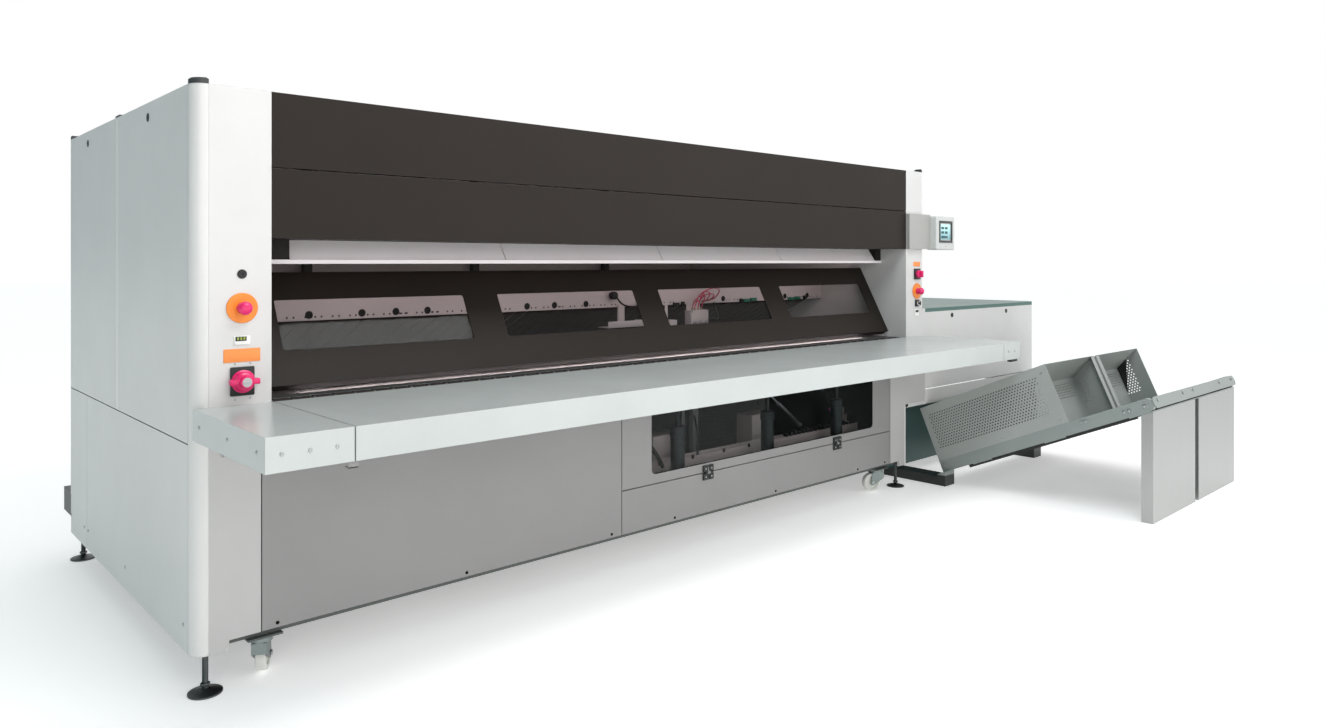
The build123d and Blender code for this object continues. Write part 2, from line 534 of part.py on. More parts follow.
# gussets that hold the end pieces on the columns
for gusset_x in (left_end_x[0] + GUSSET_INSETS[0], right_end_x[1] - GUSSET_INSETS[1]):
    gusset_line = [(0, table_z[0]), (-GUSSET[0], table_z[0]), (0, table_z[0] - GUSSET[0])]
    add("table_brackets", extrude_x(gusset_line, (gusset_x, gusset_x + GUSSET[1])))


# ---- guard: a folded plate with four windows, clear panes behind them, pins at its top corners
guard_x = (opening[0] + GUARD_GAP, opening[1] - GUARD_GAP)
guard = cover(guard_x, (0, GUARD_FLANGE), (0, guard_run), "+y", GUARD_PLATE)
window_z = (guard_run - WINDOW_START - WINDOW_LENGTH, guard_run - WINDOW_START)
window_width = (guard_x[1] - guard_x[0] - 2 * WINDOW_MARGIN - (WINDOWS - 1) * WINDOW_GAP) / WINDOWS
for i in range(WINDOWS):
    middle = guard_x[0] + WINDOW_MARGIN + window_width / 2 + i * (window_width + WINDOW_GAP)
    window = RectangleRounded(window_width, WINDOW_LENGTH, WINDOW_CORNER)
    cut = extrude(window, amount=GUARD_FLANGE / 2, both=True)
    guard -= Pos(middle, 0, sum(window_z) / 2) * Rot(90, 0, 0) * cut
    pane_x = (middle - window_width / 2 - PANE_LAP, middle + window_width / 2 + PANE_LAP)
    pane = block(pane_x, (GUARD_PLATE, GUARD_PLATE + PANE), (window_z[0] - PANE_LAP, window_z[1] + PANE_LAP))
    add("guard_panes", guard_place * pane)
left_pin_x = (opening[0] - END_PLATE, guard_x[0] + GUARD_PLATE)
right_pin_x = (guard_x[1] - GUARD_PLATE, opening[1] + END_PLATE)
for pin_x in (left_pin_x, right_pin_x):
    guard += rod_x(GUARD_PIN, pin_x, GUARD_FLANGE / 2, guard_run - GUARD_FLANGE / 2)
add("guard_frame", guard_place * guard)

# ---- tape conveyors: rollers with journals in flanged bearings, tapes looped round them
bearing_x = ((opening[0] - END_PLATE - BEARING_DEPTH, opening[0] - END_PLATE),
             (opening[1] + END_PLATE, opening[1] + END_PLATE + BEARING_DEPTH))
for name, (roller_y, roller_z, radius) in rollers.items():
    barrel = rod_x(radius, (opening[0] + ROLLER_END, opening[1] - ROLLER_END), roller_y, roller_z)
    shaft_end = bearing_x[1][1] + (DRIVE_END if name == "bed_rear_roller" else JOURNAL_END)
    barrel += rod_x(JOURNAL, (bearing_x[0][0] - JOURNAL_END, shaft_end), roller_y, roller_z)
    add(name, barrel)
    for side_x in bearing_x:
        flange_x = (side_x[1] - BEARING_FLANGE, side_x[1])
        if side_x[0] > opening[0]:
            flange_x = (side_x[0], side_x[0] + BEARING_FLANGE)
        half = BEARING / 2
        unit = block(flange_x, (roller_y - half, roller_y + half), (roller_z - half, roller_z + half))
        unit += rod_x(half - 8, side_x, roller_y, roller_z)
        unit -= rod_x(JOURNAL + RUN_FIT, (side_x[0] - 1, side_x[1] + 1), roller_y, roller_z)
        add("roller_bearings", unit)


def tape_loop(start, end, radius, thickness, x):
    """A closed band round two equal rollers, its turns made of a few flat faces."""
    run = Vector(end[0] - start[0], end[1] - start[1])
    heading = math.degrees(math.atan2(run.Y, run.X))
    step = 180 / TAPE_END_FACES

    def outline(reach):
        corner = reach / math.cos(math.radians(step / 2))
        points = []
        for centre, turn in ((end, heading - 90), (start, heading + 90)):
            for k in range(TAPE_END_FACES):
                angle = math.radians(turn + step * (k + 0.5))
                points.append((centre[0] + corner * math.cos(angle), centre[1] + corner * math.sin(angle)))
        return points

    return extrude_x(outline(radius + thickness), x) - extrude_x(outline(radius), (x[0] - 1, x[1] + 1))


tape_count = int((opening[1] - opening[0] - 20) // TAPE_PITCH)
tape_first = (opening[0] + opening[1] - tape_count * TAPE_PITCH) / 2 + (TAPE_PITCH - TAPE_WIDTH) / 2
for i in range(tape_count):
    tape_x = (tape_first + i * TAPE_PITCH, tape_first + i * TAPE_PITCH + TAPE_WIDTH)
    bed_ends = ((BED_FRONT, bed_roller_z), (BED_FRONT + BED_LENGTH, bed_roller_z))
    add("bed_tapes", tape_loop(*bed_ends, BED_ROLLER + TAPE_SLACK, TAPE - TAPE_SLACK, tape_x))
    incline_radius = INCLINE_ROLLER + TAPE_SLACK
    add("incline_tapes", tape_loop(INCLINE_TOP, INCLINE_FOOT, incline_radius, TAPE - TAPE_SLACK, tape_x))
plate_top = BED_HEIGHT - TAPE + TAPE_SLACK
bed_plate_y = (BED_FRONT + BED_ROLLER, BED_FRONT + BED_LENGTH - BED_ROLLER)
add("bed_plate", block(opening, bed_plate_y, (plate_top - BED_PLATE, plate_top)))

# ---- perforated beam over the bed, with the valve box that hangs on it
beam = cover(opening, (BEAM_Y, BEAM_Y + BEAM_DEPTH), BEAM_Z, "+y", BEAM_SHEET)
beam_hole_z = BEAM_Z[0] + 0.35 * (BEAM_Z[1] - BEAM_Z[0])
for i in range(BEAM_HOLES):
    hole_x = opening[0] + (i + 0.5) * (opening[1] - opening[0]) / BEAM_HOLES
    beam -= rod_y(BEAM_HOLE, hole_x, (BEAM_Y - 1, BEAM_Y + 2 * BEAM_SHEET), beam_hole_z)
add("perforated_beam", beam)
valve_z = (BEAM_Z[1] + VALVE_RISE - VALVE_BOX[3], BEAM_Z[1] + VALVE_RISE)
valve = block((VALVE_BOX[0], VALVE_BOX[0] + VALVE_BOX[1]), (BEAM_Y - VALVE_BOX[2], BEAM_Y), valve_z)
add("air_equipment", valve)

# ---- drive: a hollow-shaft gearmotor on the bed's rear roller, hung on the right end plate
gear_x = (bearing_x[1][1] + GEAR_GAP, bearing_x[1][1] + GEAR_GAP + GEAR_BOX[0])
gear_middle = BED_FRONT + BED_LENGTH
gear_y = (gear_middle - GEAR_BOX[1] / 2, gear_middle + GEAR_BOX[1] / 2)
gear_z = (bed_roller_z - GEAR_DROP, bed_roller_z - GEAR_DROP + GEAR_BOX[2])
gear = block(gear_x, gear_y, gear_z)
gear = chamfer(gear.edges().filter_by(Axis.X), GEAR_CHAMFER)
gear -= rod_x(JOURNAL + RUN_FIT, (gear_x[0] - 1, gear_x[1] + 1), gear_middle, bed_roller_z)
gear += rod_z(MOTOR[0], sum(gear_x) / 2, gear_middle, (gear_z[0] - MOTOR[1], gear_z[0]))
torque_y = (gear_middle - BEARING / 2 - TORQUE_ARM, gear_middle - BEARING / 2)
torque_z = (gear_z[0] + GEAR_CHAMFER, gear_z[1] - GEAR_CHAMFER)
gear += block((opening[1] + END_PLATE, gear_x[0]), torque_y, torque_z)
add("drive_gearmotor", gear)

# ---- air cylinders behind the windowed door, upright on the front rail
foot_top = rail_z[1] + CYLINDER_FOOT[2]
body_top = foot_top + CYLINDER_BODY
cylinder_y = front_rail_y[0] + RAIL / 2 + CYLINDER_OFFSET
for cylinder_x in CYLINDER_X:
    cylinder = Pos(cylinder_x, cylinder_y, rail_z[1] + CYLINDER_FOOT[2] / 2) * Box(*CYLINDER_FOOT)
    cylinder += rod_z(CYLINDER, cylinder_x, cylinder_y, (foot_top, body_top))
    cylinder += rod_z(CYLINDER_ROD[0], cylinder_x, cylinder_y, (body_top, body_top + CYLINDER_ROD[1]))
    add("air_equipment", cylinder)

# ---- controls on the columns
def stop_button(x, z):
    """A mushroom head on a stem that slides in the collar of its disc."""
    under_head = -STOP_COLLAR - STOP_TRAVEL - 1
    rim, crown_radius, crown = STOP_DOME
    head = rod_y(STOP_HEAD, x, (under_head - rim, under_head), z)
    head += rod_y(crown_radius, x, (under_head - crown, under_head), z)
    return head + rod_y(STOP_STEM, x, (under_head, -STOP_TRAVEL - 1.5), z)


left_x, right_x = CONTROL_X
for stop_x, stop_z, name in ((left_x, STOP_Z[0], "stop_button_left"), (right_x, STOP_Z[1], "stop_button_right")):
    disc = rod_y(STOP_DISC, stop_x, (-5, 0), stop_z)
    disc += rod_y(STOP_HEAD - 3, stop_x, (-STOP_COLLAR, -4), stop_z)
    disc -= rod_y(STOP_STEM + RUN_FIT, stop_x, (-STOP_COLLAR - 1, -0.5), stop_z)
    add("control_plates", disc)
    add(name, stop_button(stop_x, stop_z))
for blank_x, blank_z, width, height, thickness in BLANKS:
    blank_span = (blank_x - width / 2, blank_x + width / 2)
    add("control_plates", block(blank_span, (-thickness, 0), (blank_z - height / 2, blank_z + height / 2)))
switches = {                         # x, z, plate width and height, knob radius and depth
    "isolator_knob": (left_x, ISOLATOR_Z, 69, 86, 34, 40),
    "selector_switch": (right_x, SELECTOR_Z, 62, 62, 22, 34),
    "key_switch": (right_x, KEY_Z, 40, 40, 13, 20),
}
knob_back = -SWITCH_PLATE - SWITCH_GAP
for name, (switch_x, switch_z, plate_w, plate_h, knob_r, knob_d) in switches.items():
    plate_x = (switch_x - plate_w / 2, switch_x + plate_w / 2)
    plate = block(plate_x, (-SWITCH_PLATE, 0), (switch_z - plate_h / 2, switch_z + plate_h / 2))
    plate -= rod_y(SWITCH_SHAFT + RUN_FIT, switch_x, (-SWITCH_PLATE - 1, -1), switch_z)
    add("control_plates", plate)
    knob = rod_y(knob_r, switch_x, (knob_back - knob_d / 2, knob_back), switch_z)
    grip = Box(0.6 * knob_r, knob_d / 2, 1.7 * knob_r)
    knob += Pos(switch_x, knob_back - 0.75 * knob_d, switch_z) * grip
    knob += rod_y(SWITCH_SHAFT, switch_x, (knob_back, -1.5), switch_z)
    add(name, knob)

# round quarter-turn locks in the covers
add("panel_locks", rod_y(PLUG, left_x, (-PLUG_PROUD, 0), LEFT_PLUG_Z))
for lock_y in SIDE_PLUGS:
    for lock_x in ((-PLUG_PROUD, 0), (BODY_WIDTH, BODY_WIDTH + PLUG_PROUD)):
        add("panel_locks", rod_x(PLUG, lock_x, lock_y, BODY_HEIGHT - SIDE_PLUG_DROP))

# ---- operator panel on an arm round the right column
add("hmi_arm", cover((opening[1] + 1, HMI[0]), (-HMI_ARM, 0), (HMI[2] + 4, HMI[3] + 8), "+y"))
housing = block((HMI[0], HMI[1]), (-HMI_DEPTH, 0), (HMI[2], HMI[3]))
housing = fillet(housing.edges().filter_by(Axis.Y), 10)
housing = chamfer(housing.faces().sort_by(Axis.Y)[0].edges(), 5)
screen_x = ((HMI[0] + HMI[1] - SCREEN[0]) / 2, (HMI[0] + HMI[1] + SCREEN[0]) / 2)
screen_low = (HMI[2] + HMI[3] - SCREEN[1]) / 2 + SCREEN_RISE
housing -= block(screen_x, (-HMI_DEPTH - 1, -HMI_DEPTH + SCREEN[2]), (screen_low, screen_low + SCREEN[1]))
add("hmi_housing", housing)

# ---- levelling feet and casters
cross_right = BODY_WIDTH + CROSS_WIDTH
cross_rail_y = (CROSS_RECESS + SHEET + CROSS_POST / 2, BODY_DEPTH - FLANGE - CROSS_POST / 2)
feet = [(x, y, RAIL_BOTTOM) for x in FOOT_X for y in (FOOT_Y, BODY_DEPTH - FOOT_Y)]
feet += [(cross_right - CROSS_FOOT_INSET, y, CROSS_BASE) for y in cross_rail_y]
for foot_x, foot_y, seat in feet:
    profile = Polyline(
        (0, 0), (FOOT_PAD, 0), (FOOT_PAD, 6), (FOOT_STEM, 22), (FOOT_STEM, seat), (0, seat), close=True)
    foot = revolve(make_face(Plane.XZ * profile), Axis.Z)
    nut = Pos(0, 0, seat - 12) * extrude(RegularPolygon(FOOT_NUT, 6), amount=12)
    add("levelling_feet", Pos(foot_x, foot_y, 0) * (foot + nut))

plate_low = RAIL_BOTTOM - CASTER_PLATE[2]
crown_top = plate_low - 0.3
crown_low = crown_top - CROWN[1]
fork_half = WHEEL_WIDTH / 2 + 2
axle_z = WHEEL_CLEAR + WHEEL
leg_outline = Polyline(
    (-CROWN[0], 0, crown_low), (CROWN[0], 0, crown_low), (CASTER_TRAIL + 14, 0, axle_z - 6),
    (CASTER_TRAIL + 8, 0, axle_z - 14), (CASTER_TRAIL - 8, 0, axle_z - 14),
    (-CROWN[0], 0, crown_low - FORK_SKIRT), close=True)
places = [(x, y) for x in CASTER_X for y in (CASTER_Y, BODY_DEPTH - CASTER_Y)]
names = ["front_left", "rear_left", "front_right", "rear_right"]
for (caster_x, caster_y), name, turn in zip(places, names, CASTER_TURNS):
    mount = Pos(caster_x, caster_y, RAIL_BOTTOM - CASTER_PLATE[2] / 2) * Box(*CASTER_PLATE)
    mount += rod_z(KINGPIN, caster_x, caster_y, (crown_low - FORK_SHEET, plate_low))
    add("base_frame", mount)
    place = Pos(caster_x, caster_y, 0) * Rot(0, 0, turn)
    # a pressed fork: round crown, two legs, and a skirt across them in front of the wheel
    fork = rod_z(CROWN[0], 0, 0, (crown_low, crown_top))
    for leg_y in (fork_half, -fork_half - FORK_SHEET):
        fork += Pos(0, leg_y, 0) * extrude(make_face(leg_outline), amount=FORK_SHEET, dir=(0, 1, 0))
    skirt_x = (-CROWN[0], FORK_SHEET - CROWN[0])
    fork += block(skirt_x, (-fork_half, fork_half), (crown_low - FORK_SKIRT, crown_low))
    axle_half = fork_half + 2 * FORK_SHEET
    fork += rod_y(CASTER_AXLE, CASTER_TRAIL, (-axle_half, axle_half), axle_z)
    fork -= rod_z(KINGPIN + RUN_FIT, 0, 0, (crown_low - 1, crown_top + 1))
    add("caster_fork_" + name, place * fork)
    # a moulded wheel, dished between its hub and its rim on both sides
    half = WHEEL_WIDTH / 2
    wheel = rod_y(WHEEL, 0, (-half, half), 0)
    for dish_y in ((half - WHEEL_DISH, half + 1), (-half - 1, WHEEL_DISH - half)):
        wheel -= rod_y(HUB[1], 0, dish_y, 0) - rod_y(HUB[0], 0, dish_y, 0)
    wheel -= rod_y(CASTER_AXLE + RUN_FIT, 0, (-half - 1, half + 1), 0)
    add("caster_wheel_" + name, place * Pos(CASTER_TRAIL, 0, axle_z) * wheel)

# ---- cross-folder cabinet at the right end
cross_x = (BODY_WIDTH, cross_right)
lid_low = CROSS_TOP - CROSS_LID
cabinet_x = (cross_x[0], cross_x[1] - CROSS_CORNER)
# the front rail reaches under the body's last cross member, the rear one under the side member
for rail_y, rail_start in zip(cross_rail_y, (front_rail_x[1] - RAIL, side_member_x[0])):
    span_y = (rail_y - CROSS_POST / 2, rail_y + CROSS_POST / 2)
    add("base_frame", tube_x((rail_start, cabinet_x[1]), span_y, (CROSS_BASE, CROSS_BASE + CROSS_POST)))
    for post_x in (cabinet_x[0], cabinet_x[1] - CROSS_POST):
        add("base_frame", block((post_x, post_x + CROSS_POST), span_y, (CROSS_BASE + CROSS_POST, lid_low)))


def on_roll(radius, turn):
    """A point of the rolled edge's section, turned down from its top by this many degrees."""
    angle = math.radians(turn)
    return lower_right, CROSS_ROLL - radius * math.cos(angle), roll_top - radius * math.sin(angle)


shell_line = Line((cross_x[0], 0), (cross_x[1] - CROSS_CORNER, 0))
corner_line = RadiusArc((cross_x[1] - CROSS_CORNER, 0), (cross_x[1], CROSS_CORNER), -CROSS_CORNER)
side_line = Line((cross_x[1], CROSS_CORNER), (cross_x[1], BODY_DEPTH))
inner = CROSS_CORNER - SHEET
back_line = Line((cross_x[1], BODY_DEPTH), (cross_x[1] - SHEET, BODY_DEPTH))
inner_side = Line((cross_x[1] - SHEET, BODY_DEPTH), (cross_x[1] - SHEET, CROSS_CORNER))
inner_corner = RadiusArc((cross_x[1] - SHEET, CROSS_CORNER), (cross_x[1] - CROSS_CORNER, SHEET), inner)
inner_front = Line((cross_x[1] - CROSS_CORNER, SHEET), (cross_x[0], SHEET))
close_line = Line((cross_x[0], SHEET), (cross_x[0], 0))
skin = make_face([shell_line, corner_line, side_line, back_line, inner_side, inner_corner, inner_front, close_line])
for low, high in ((roll_top, CROSS_SEAM - SEAM / 2), (CROSS_SEAM + SEAM / 2, lid_low)):
    add("crossfolder_panels", Pos(0, 0, low) * extrude(skin, amount=high - low))
# their rolled lower edge, which starts under the right column and goes round the corner
roll_path = Wire([
    Line((lower_right, 0, roll_top), (cabinet_x[1], 0, roll_top)),
    Pos(0, 0, roll_top) * corner_line,
    Line((cross_x[1], CROSS_CORNER, roll_top), (cross_x[1], BODY_DEPTH - FLANGE, roll_top)),
])
outer_roll = [on_roll(CROSS_ROLL, turn) for turn in (0, 45, 90)]
inner_roll = [on_roll(CROSS_ROLL - SHEET, turn) for turn in (90, 45, 0)]
roll_section = make_face([
    ThreePointArc(*outer_roll), Line(outer_roll[-1], inner_roll[0]),
    ThreePointArc(*inner_roll), Line(inner_roll[-1], outer_roll[0]),
])
add("crossfolder_panels", sweep(roll_section, path=roll_path))
rear_cover_x = (cross_x[0], cross_x[1] - SHEET)
rear_cover_y = (BODY_DEPTH - FLANGE, BODY_DEPTH)
add("crossfolder_panels", cover(rear_cover_x, rear_cover_y, (CROSS_BASE, lid_low), "-y"))
recess_x = (lower_right, cabinet_x[1])
add("crossfolder_panels", block(recess_x, (CROSS_RECESS, CROSS_RECESS + SHEET), (CROSS_BASE, CROSS_BOTTOM)))
add("crossfolder_panels", block(recess_x, (CROSS_ROLL, CROSS_RECESS + SHEET), (CROSS_BOTTOM, CROSS_BOTTOM + SHEET)))
lid_face = make_face([
    shell_line, corner_line, side_line, Line((cross_x[1], BODY_DEPTH), (cross_x[0], BODY_DEPTH)),
    Line((cross_x[0], BODY_DEPTH), (cross_x[0], 0)),
])
lid = Pos(0, 0, lid_low) * extrude(lid_face, amount=CROSS_LID)
lid_split_y = (CROSS_LID_SPLIT, CROSS_LID_SPLIT + SEAM)
lid -= block((cross_x[0], cross_x[1] + 1), lid_split_y, (lid_low - 1, CROSS_TOP + 1))
add("crossfolder_lid", *lid.solids())
for lock_x in CROSS_PLUGS:
    add("panel_locks", rod_y(PLUG, cross_x[0] + lock_x, (-PLUG_PROUD, 0), CROSS_PLUG_Z))

# ---- stack conveyor: s runs up the slope towards the front, n is square to it
stack_turn = Pos(STACK_LEFT, STACK_FOOT[0], STACK_FOOT[1]) * Rot(-STACK_SLOPE, 0, 0)


def sloped(x, s, n):
    """A block of the stack conveyor: across, along the slope and square to it."""
    return stack_turn * block(x, (-s[1], -s[0]), n)


def under_rails(y, gap=0):
    """The height of the rails' underside at y, less a gap square to it."""
    slope = math.radians(STACK_SLOPE)
    return STACK_FOOT[1] + (STACK_FOOT[0] - y) * math.tan(slope) - gap / math.cos(slope)


wide = (0, STACK_WIDTH)
roller_s = (34, RAIL_LENGTH - 10)
roller_n = STACK_RAIL / 2
for rail_x in ((0, STACK_RAIL_WIDTH), (STACK_WIDTH - STACK_RAIL_WIDTH, STACK_WIDTH)):
    rail = block(rail_x, (-RAIL_LENGTH - NOSE, 0), (0, STACK_RAIL))
    rail = fillet(rail.edges().filter_by(Axis.X).group_by(Axis.Y)[0], STACK_RAIL / 2 - 1)
    for s in roller_s:
        rail -= rod_x(JOURNAL + RUN_FIT, (rail_x[0] - 1, rail_x[1] + 1), -s, roller_n)
    add("stacker_rails", stack_turn * rail)
inside = (STACK_RAIL_WIDTH, STACK_WIDTH - STACK_RAIL_WIDTH)
slider_n = (roller_n + STACK_ROLLER - 2, roller_n + STACK_ROLLER + 0.3)
add("stacker_rails", sloped(inside, (roller_s[0] + 30, roller_s[1] - 30), slider_n))
guard_s = (RAIL_LENGTH + NOSE - SHEET, RAIL_LENGTH + NOSE)
add("stacker_rails", sloped(inside, guard_s, HEAD_GUARD))
for tie_s in TIES:
    add("stacker_rails", sloped(wide, (tie_s, tie_s + TIE[1]), (-TIE[0], 0)))
for name, s in (("stacker_tail_roller", roller_s[0]), ("stacker_head_roller", roller_s[1])):
    barrel = rod_x(STACK_ROLLER, (inside[0] + 3, inside[1] - 3), -s, roller_n)
    barrel += rod_x(JOURNAL, (wide[0] + 1, wide[1] - 1), -s, roller_n)
    add(name, stack_turn * barrel)
belt_width = (inside[1] - inside[0] - 3 * BELT_GAP) / 2
for k in range(2):
    belt_x = inside[0] + BELT_GAP + k * (belt_width + BELT_GAP)
    ends = ((-roller_s[0], roller_n), (-roller_s[1], roller_n))
    span = (belt_x, belt_x + belt_width)
    belt = tape_loop(*ends, STACK_ROLLER + TAPE_SLACK, STACK_BELT - TAPE_SLACK, span)
    add("stacker_belts", stack_turn * belt)

# side panels and the two bays
panel_n = (STACK_RAIL, BAY_HEIGHT)
for panel_x in ((0, SHEET), (STACK_WIDTH - SHEET, STACK_WIDTH)):
    add("stacker_side_panels", sloped(panel_x, (0, BAY_LENGTH), panel_n))
back_s = BAY_LENGTH - BAY_BACK
back_top = BAY_HEIGHT - BAY_DROP
bay_floor = roller_n + STACK_ROLLER + STACK_BELT + 6
middle = STACK_WIDTH / 2
left_bay = (SHEET, middle - BAY_GAP / 2)
right_bay = (middle + BAY_GAP / 2, STACK_WIDTH - SHEET)
roof_outline = [
    (-back_s, back_top), (-BAY_LENGTH, BAY_HEIGHT), (-BAY_LENGTH, BAY_HEIGHT - SHEET), (-back_s, back_top - SHEET),
]
wall_outline = [
    (-back_s, bay_floor), (-BAY_LENGTH, bay_floor), (-BAY_LENGTH, BAY_HEIGHT - SHEET), (-back_s, back_top - SHEET),
]
for bay_x in (left_bay, right_bay):
    add("stacker_bays", sloped(bay_x, (back_s - SHEET, back_s), (bay_floor, back_top)))
    add("stacker_bays", stack_turn * extrude_x(roof_outline, bay_x))
# the walls between the bays, each with a flange turned into its bay
walls = (
    ((left_bay[1] - SHEET, left_bay[1]), (left_bay[1] - BAY_FLANGE, left_bay[1] - SHEET)),
    ((right_bay[0], right_bay[0] + SHEET), (right_bay[0] + SHEET, right_bay[0] + BAY_FLANGE)),
)
for wall_x, flange_x in walls:
    add("stacker_bays", stack_turn * extrude_x(wall_outline, wall_x))
    add("stacker_bays", sloped(flange_x, (BAY_LENGTH - SHEET, BAY_LENGTH), (bay_floor, BAY_HEIGHT - 2 * SHEET)))

# leg plates: tall boxes open at the back, under the rails
for span in LEG_PLATES:
    leg_x = (STACK_LEFT + span[0], STACK_LEFT + span[1])
    leg_y = (LEG_PLATE_Y - LEG_PLATE / 2, LEG_PLATE_Y + LEG_PLATE / 2)
    rise = [under_rails(y, TIE[0] + 0.3) for y in leg_y]
    leg = extrude_x([(leg_y[0], 0), (leg_y[1], 0), (leg_y[1], rise[1]), (leg_y[0], rise[0])], leg_x)
    hollow_x = (leg_x[0] + LEG_WALL, leg_x[1] - LEG_WALL)
    add("stacker_leg_plates", leg - block(hollow_x, (leg_y[0] + LEG_WALL, leg_y[1] + 1), (LEG_WALL, rise[1] - 25)))

# channels on the floor that carry the rails' tail and end under the cabinet's front rail
tail_front = STACK_FOOT[0] - TAIL_CHANNEL[2]
channel_end = cross_rail_y[0] + CROSS_POST / 2
for tail_x in (TAIL_INSETS[0], STACK_WIDTH - TAIL_INSETS[1] - TAIL_CHANNEL[0]):
    span = (STACK_LEFT + tail_x, STACK_LEFT + tail_x + TAIL_CHANNEL[0])
    channel_line = [
        (tail_front, 0), (channel_end, 0), (channel_end, CROSS_BASE), (channel_end - CROSS_POST, CROSS_BASE),
        (channel_end - CROSS_POST, TAIL_CHANNEL[1]), (STACK_FOOT[0], TAIL_CHANNEL[1]),
        (STACK_FOOT[0], under_rails(STACK_FOOT[0])), (tail_front, under_rails(tail_front)),
    ]
    add("stacker_rails", extrude_x(channel_line, span))

# ---- write every node, moved so that the origin is the middle of the footprint at floor level
rail_nose = stack_turn * Pos(0, STACK_RAIL / 2 - 1 - RAIL_LENGTH - NOSE, STACK_RAIL / 2)
low_corner = (-PLUG_PROUD, rail_nose.position.Y - STACK_RAIL / 2)
high_corner = (cross_right, BODY_DEPTH + arm_reach)
centre = Pos(-(low_corner[0] + high_corner[0]) / 2, -(low_corner[1] + high_corner[1]) / 2, 0)
os.makedirs("parts", exist_ok=True)
for name, solids in nodes.items():
    placed = [centre * solid for solid in solids]
    shape = placed[0] if len(placed) == 1 else Compound(children=placed)
    export_step(shape, f"parts/{name}.step")
print(len(nodes), "nodes, origin moved by", centre.position)
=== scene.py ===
import json
import math

import bmesh
import bpy
from mathutils import Euler, Matrix, Vector


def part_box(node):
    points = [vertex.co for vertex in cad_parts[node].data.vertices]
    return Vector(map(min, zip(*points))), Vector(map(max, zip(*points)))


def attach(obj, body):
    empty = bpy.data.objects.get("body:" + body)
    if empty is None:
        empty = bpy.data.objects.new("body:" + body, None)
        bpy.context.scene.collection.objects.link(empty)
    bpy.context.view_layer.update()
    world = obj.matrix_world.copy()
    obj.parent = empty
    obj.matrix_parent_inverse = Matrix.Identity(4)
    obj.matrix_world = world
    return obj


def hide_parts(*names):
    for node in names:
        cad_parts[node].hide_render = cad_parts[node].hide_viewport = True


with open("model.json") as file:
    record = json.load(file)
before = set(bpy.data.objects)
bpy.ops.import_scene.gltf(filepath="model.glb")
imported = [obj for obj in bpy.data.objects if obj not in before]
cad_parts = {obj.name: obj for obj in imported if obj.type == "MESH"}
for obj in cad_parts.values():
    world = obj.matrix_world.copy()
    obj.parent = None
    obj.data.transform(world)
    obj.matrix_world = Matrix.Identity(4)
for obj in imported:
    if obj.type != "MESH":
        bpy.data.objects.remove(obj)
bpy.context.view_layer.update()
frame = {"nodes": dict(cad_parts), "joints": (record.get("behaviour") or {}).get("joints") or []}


# ---- Stage: a plain pale floor under soft studio light, seen from the machine's front left corner.
# The camera stands 1.27 m over the floor, level, with the picture moved down a little so that upright
# edges stay upright.
def add_node(tree, kind, inputs=None, **settings):
    """Adds one node. Inputs are values, or the sockets that feed them; settings are the node's own fields."""
    made = tree.nodes.new("ShaderNode" + kind)
    for name, value in settings.items():
        setattr(made, name, value)
    for name, value in (inputs or {}).items():
        if isinstance(value, bpy.types.NodeSocket):
            tree.links.new(value, made.inputs[name])
        else:
            made.inputs[name].default_value = value
    return made


def linear(hex_colour):
    """An sRGB hex colour as linear red, green, blue and alpha."""
    channels = [int(hex_colour[i:i + 2], 16) / 255 for i in (1, 3, 5)]
    return [c / 12.92 if c <= 0.04045 else ((c + 0.055) / 1.055) ** 2.4 for c in channels] + [1]


def new_material(name):
    """An empty material, its node tree and its main shader."""
    material = bpy.data.materials.new(name)
    material.use_nodes = True
    return material, material.node_tree, material.node_tree.nodes["Principled BSDF"]


def finished(shape, name, material, body="machine", instead_of=()):
    """Turns a bmesh into a piece at the origin, with its material, riding on a body."""
    mesh = bpy.data.meshes.new(name)
    shape.to_mesh(mesh)
    shape.free()
    mesh.shade_smooth()
    mesh.set_sharp_from_angle(angle=math.radians(32))
    piece = bpy.data.objects.new(name, mesh)
    bpy.context.scene.collection.objects.link(piece)
    mesh.materials.append(material)
    if body:
        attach(piece, body)
    if instead_of:
        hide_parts(*instead_of)
    return piece


FLOOR_HALF = 60                  # metres
FLOOR_GLOW = 0.4
floor_material, tree, shader = new_material("lit white floor")
shader.inputs["Base Color"].default_value = linear("#F4F4F3")
shader.inputs["Roughness"].default_value = 0.9
shader.inputs["Emission Color"].default_value = linear("#FFFFFF")
shader.inputs["Emission Strength"].default_value = FLOOR_GLOW
floor_shape = bmesh.new()
bmesh.ops.create_grid(floor_shape, x_segments=1, y_segments=1, size=FLOOR_HALF)
floor = finished(floor_shape, "floor", floor_material, body=None)

world = bpy.data.worlds.new("studio")
bpy.context.scene.world = world
world.use_nodes = True
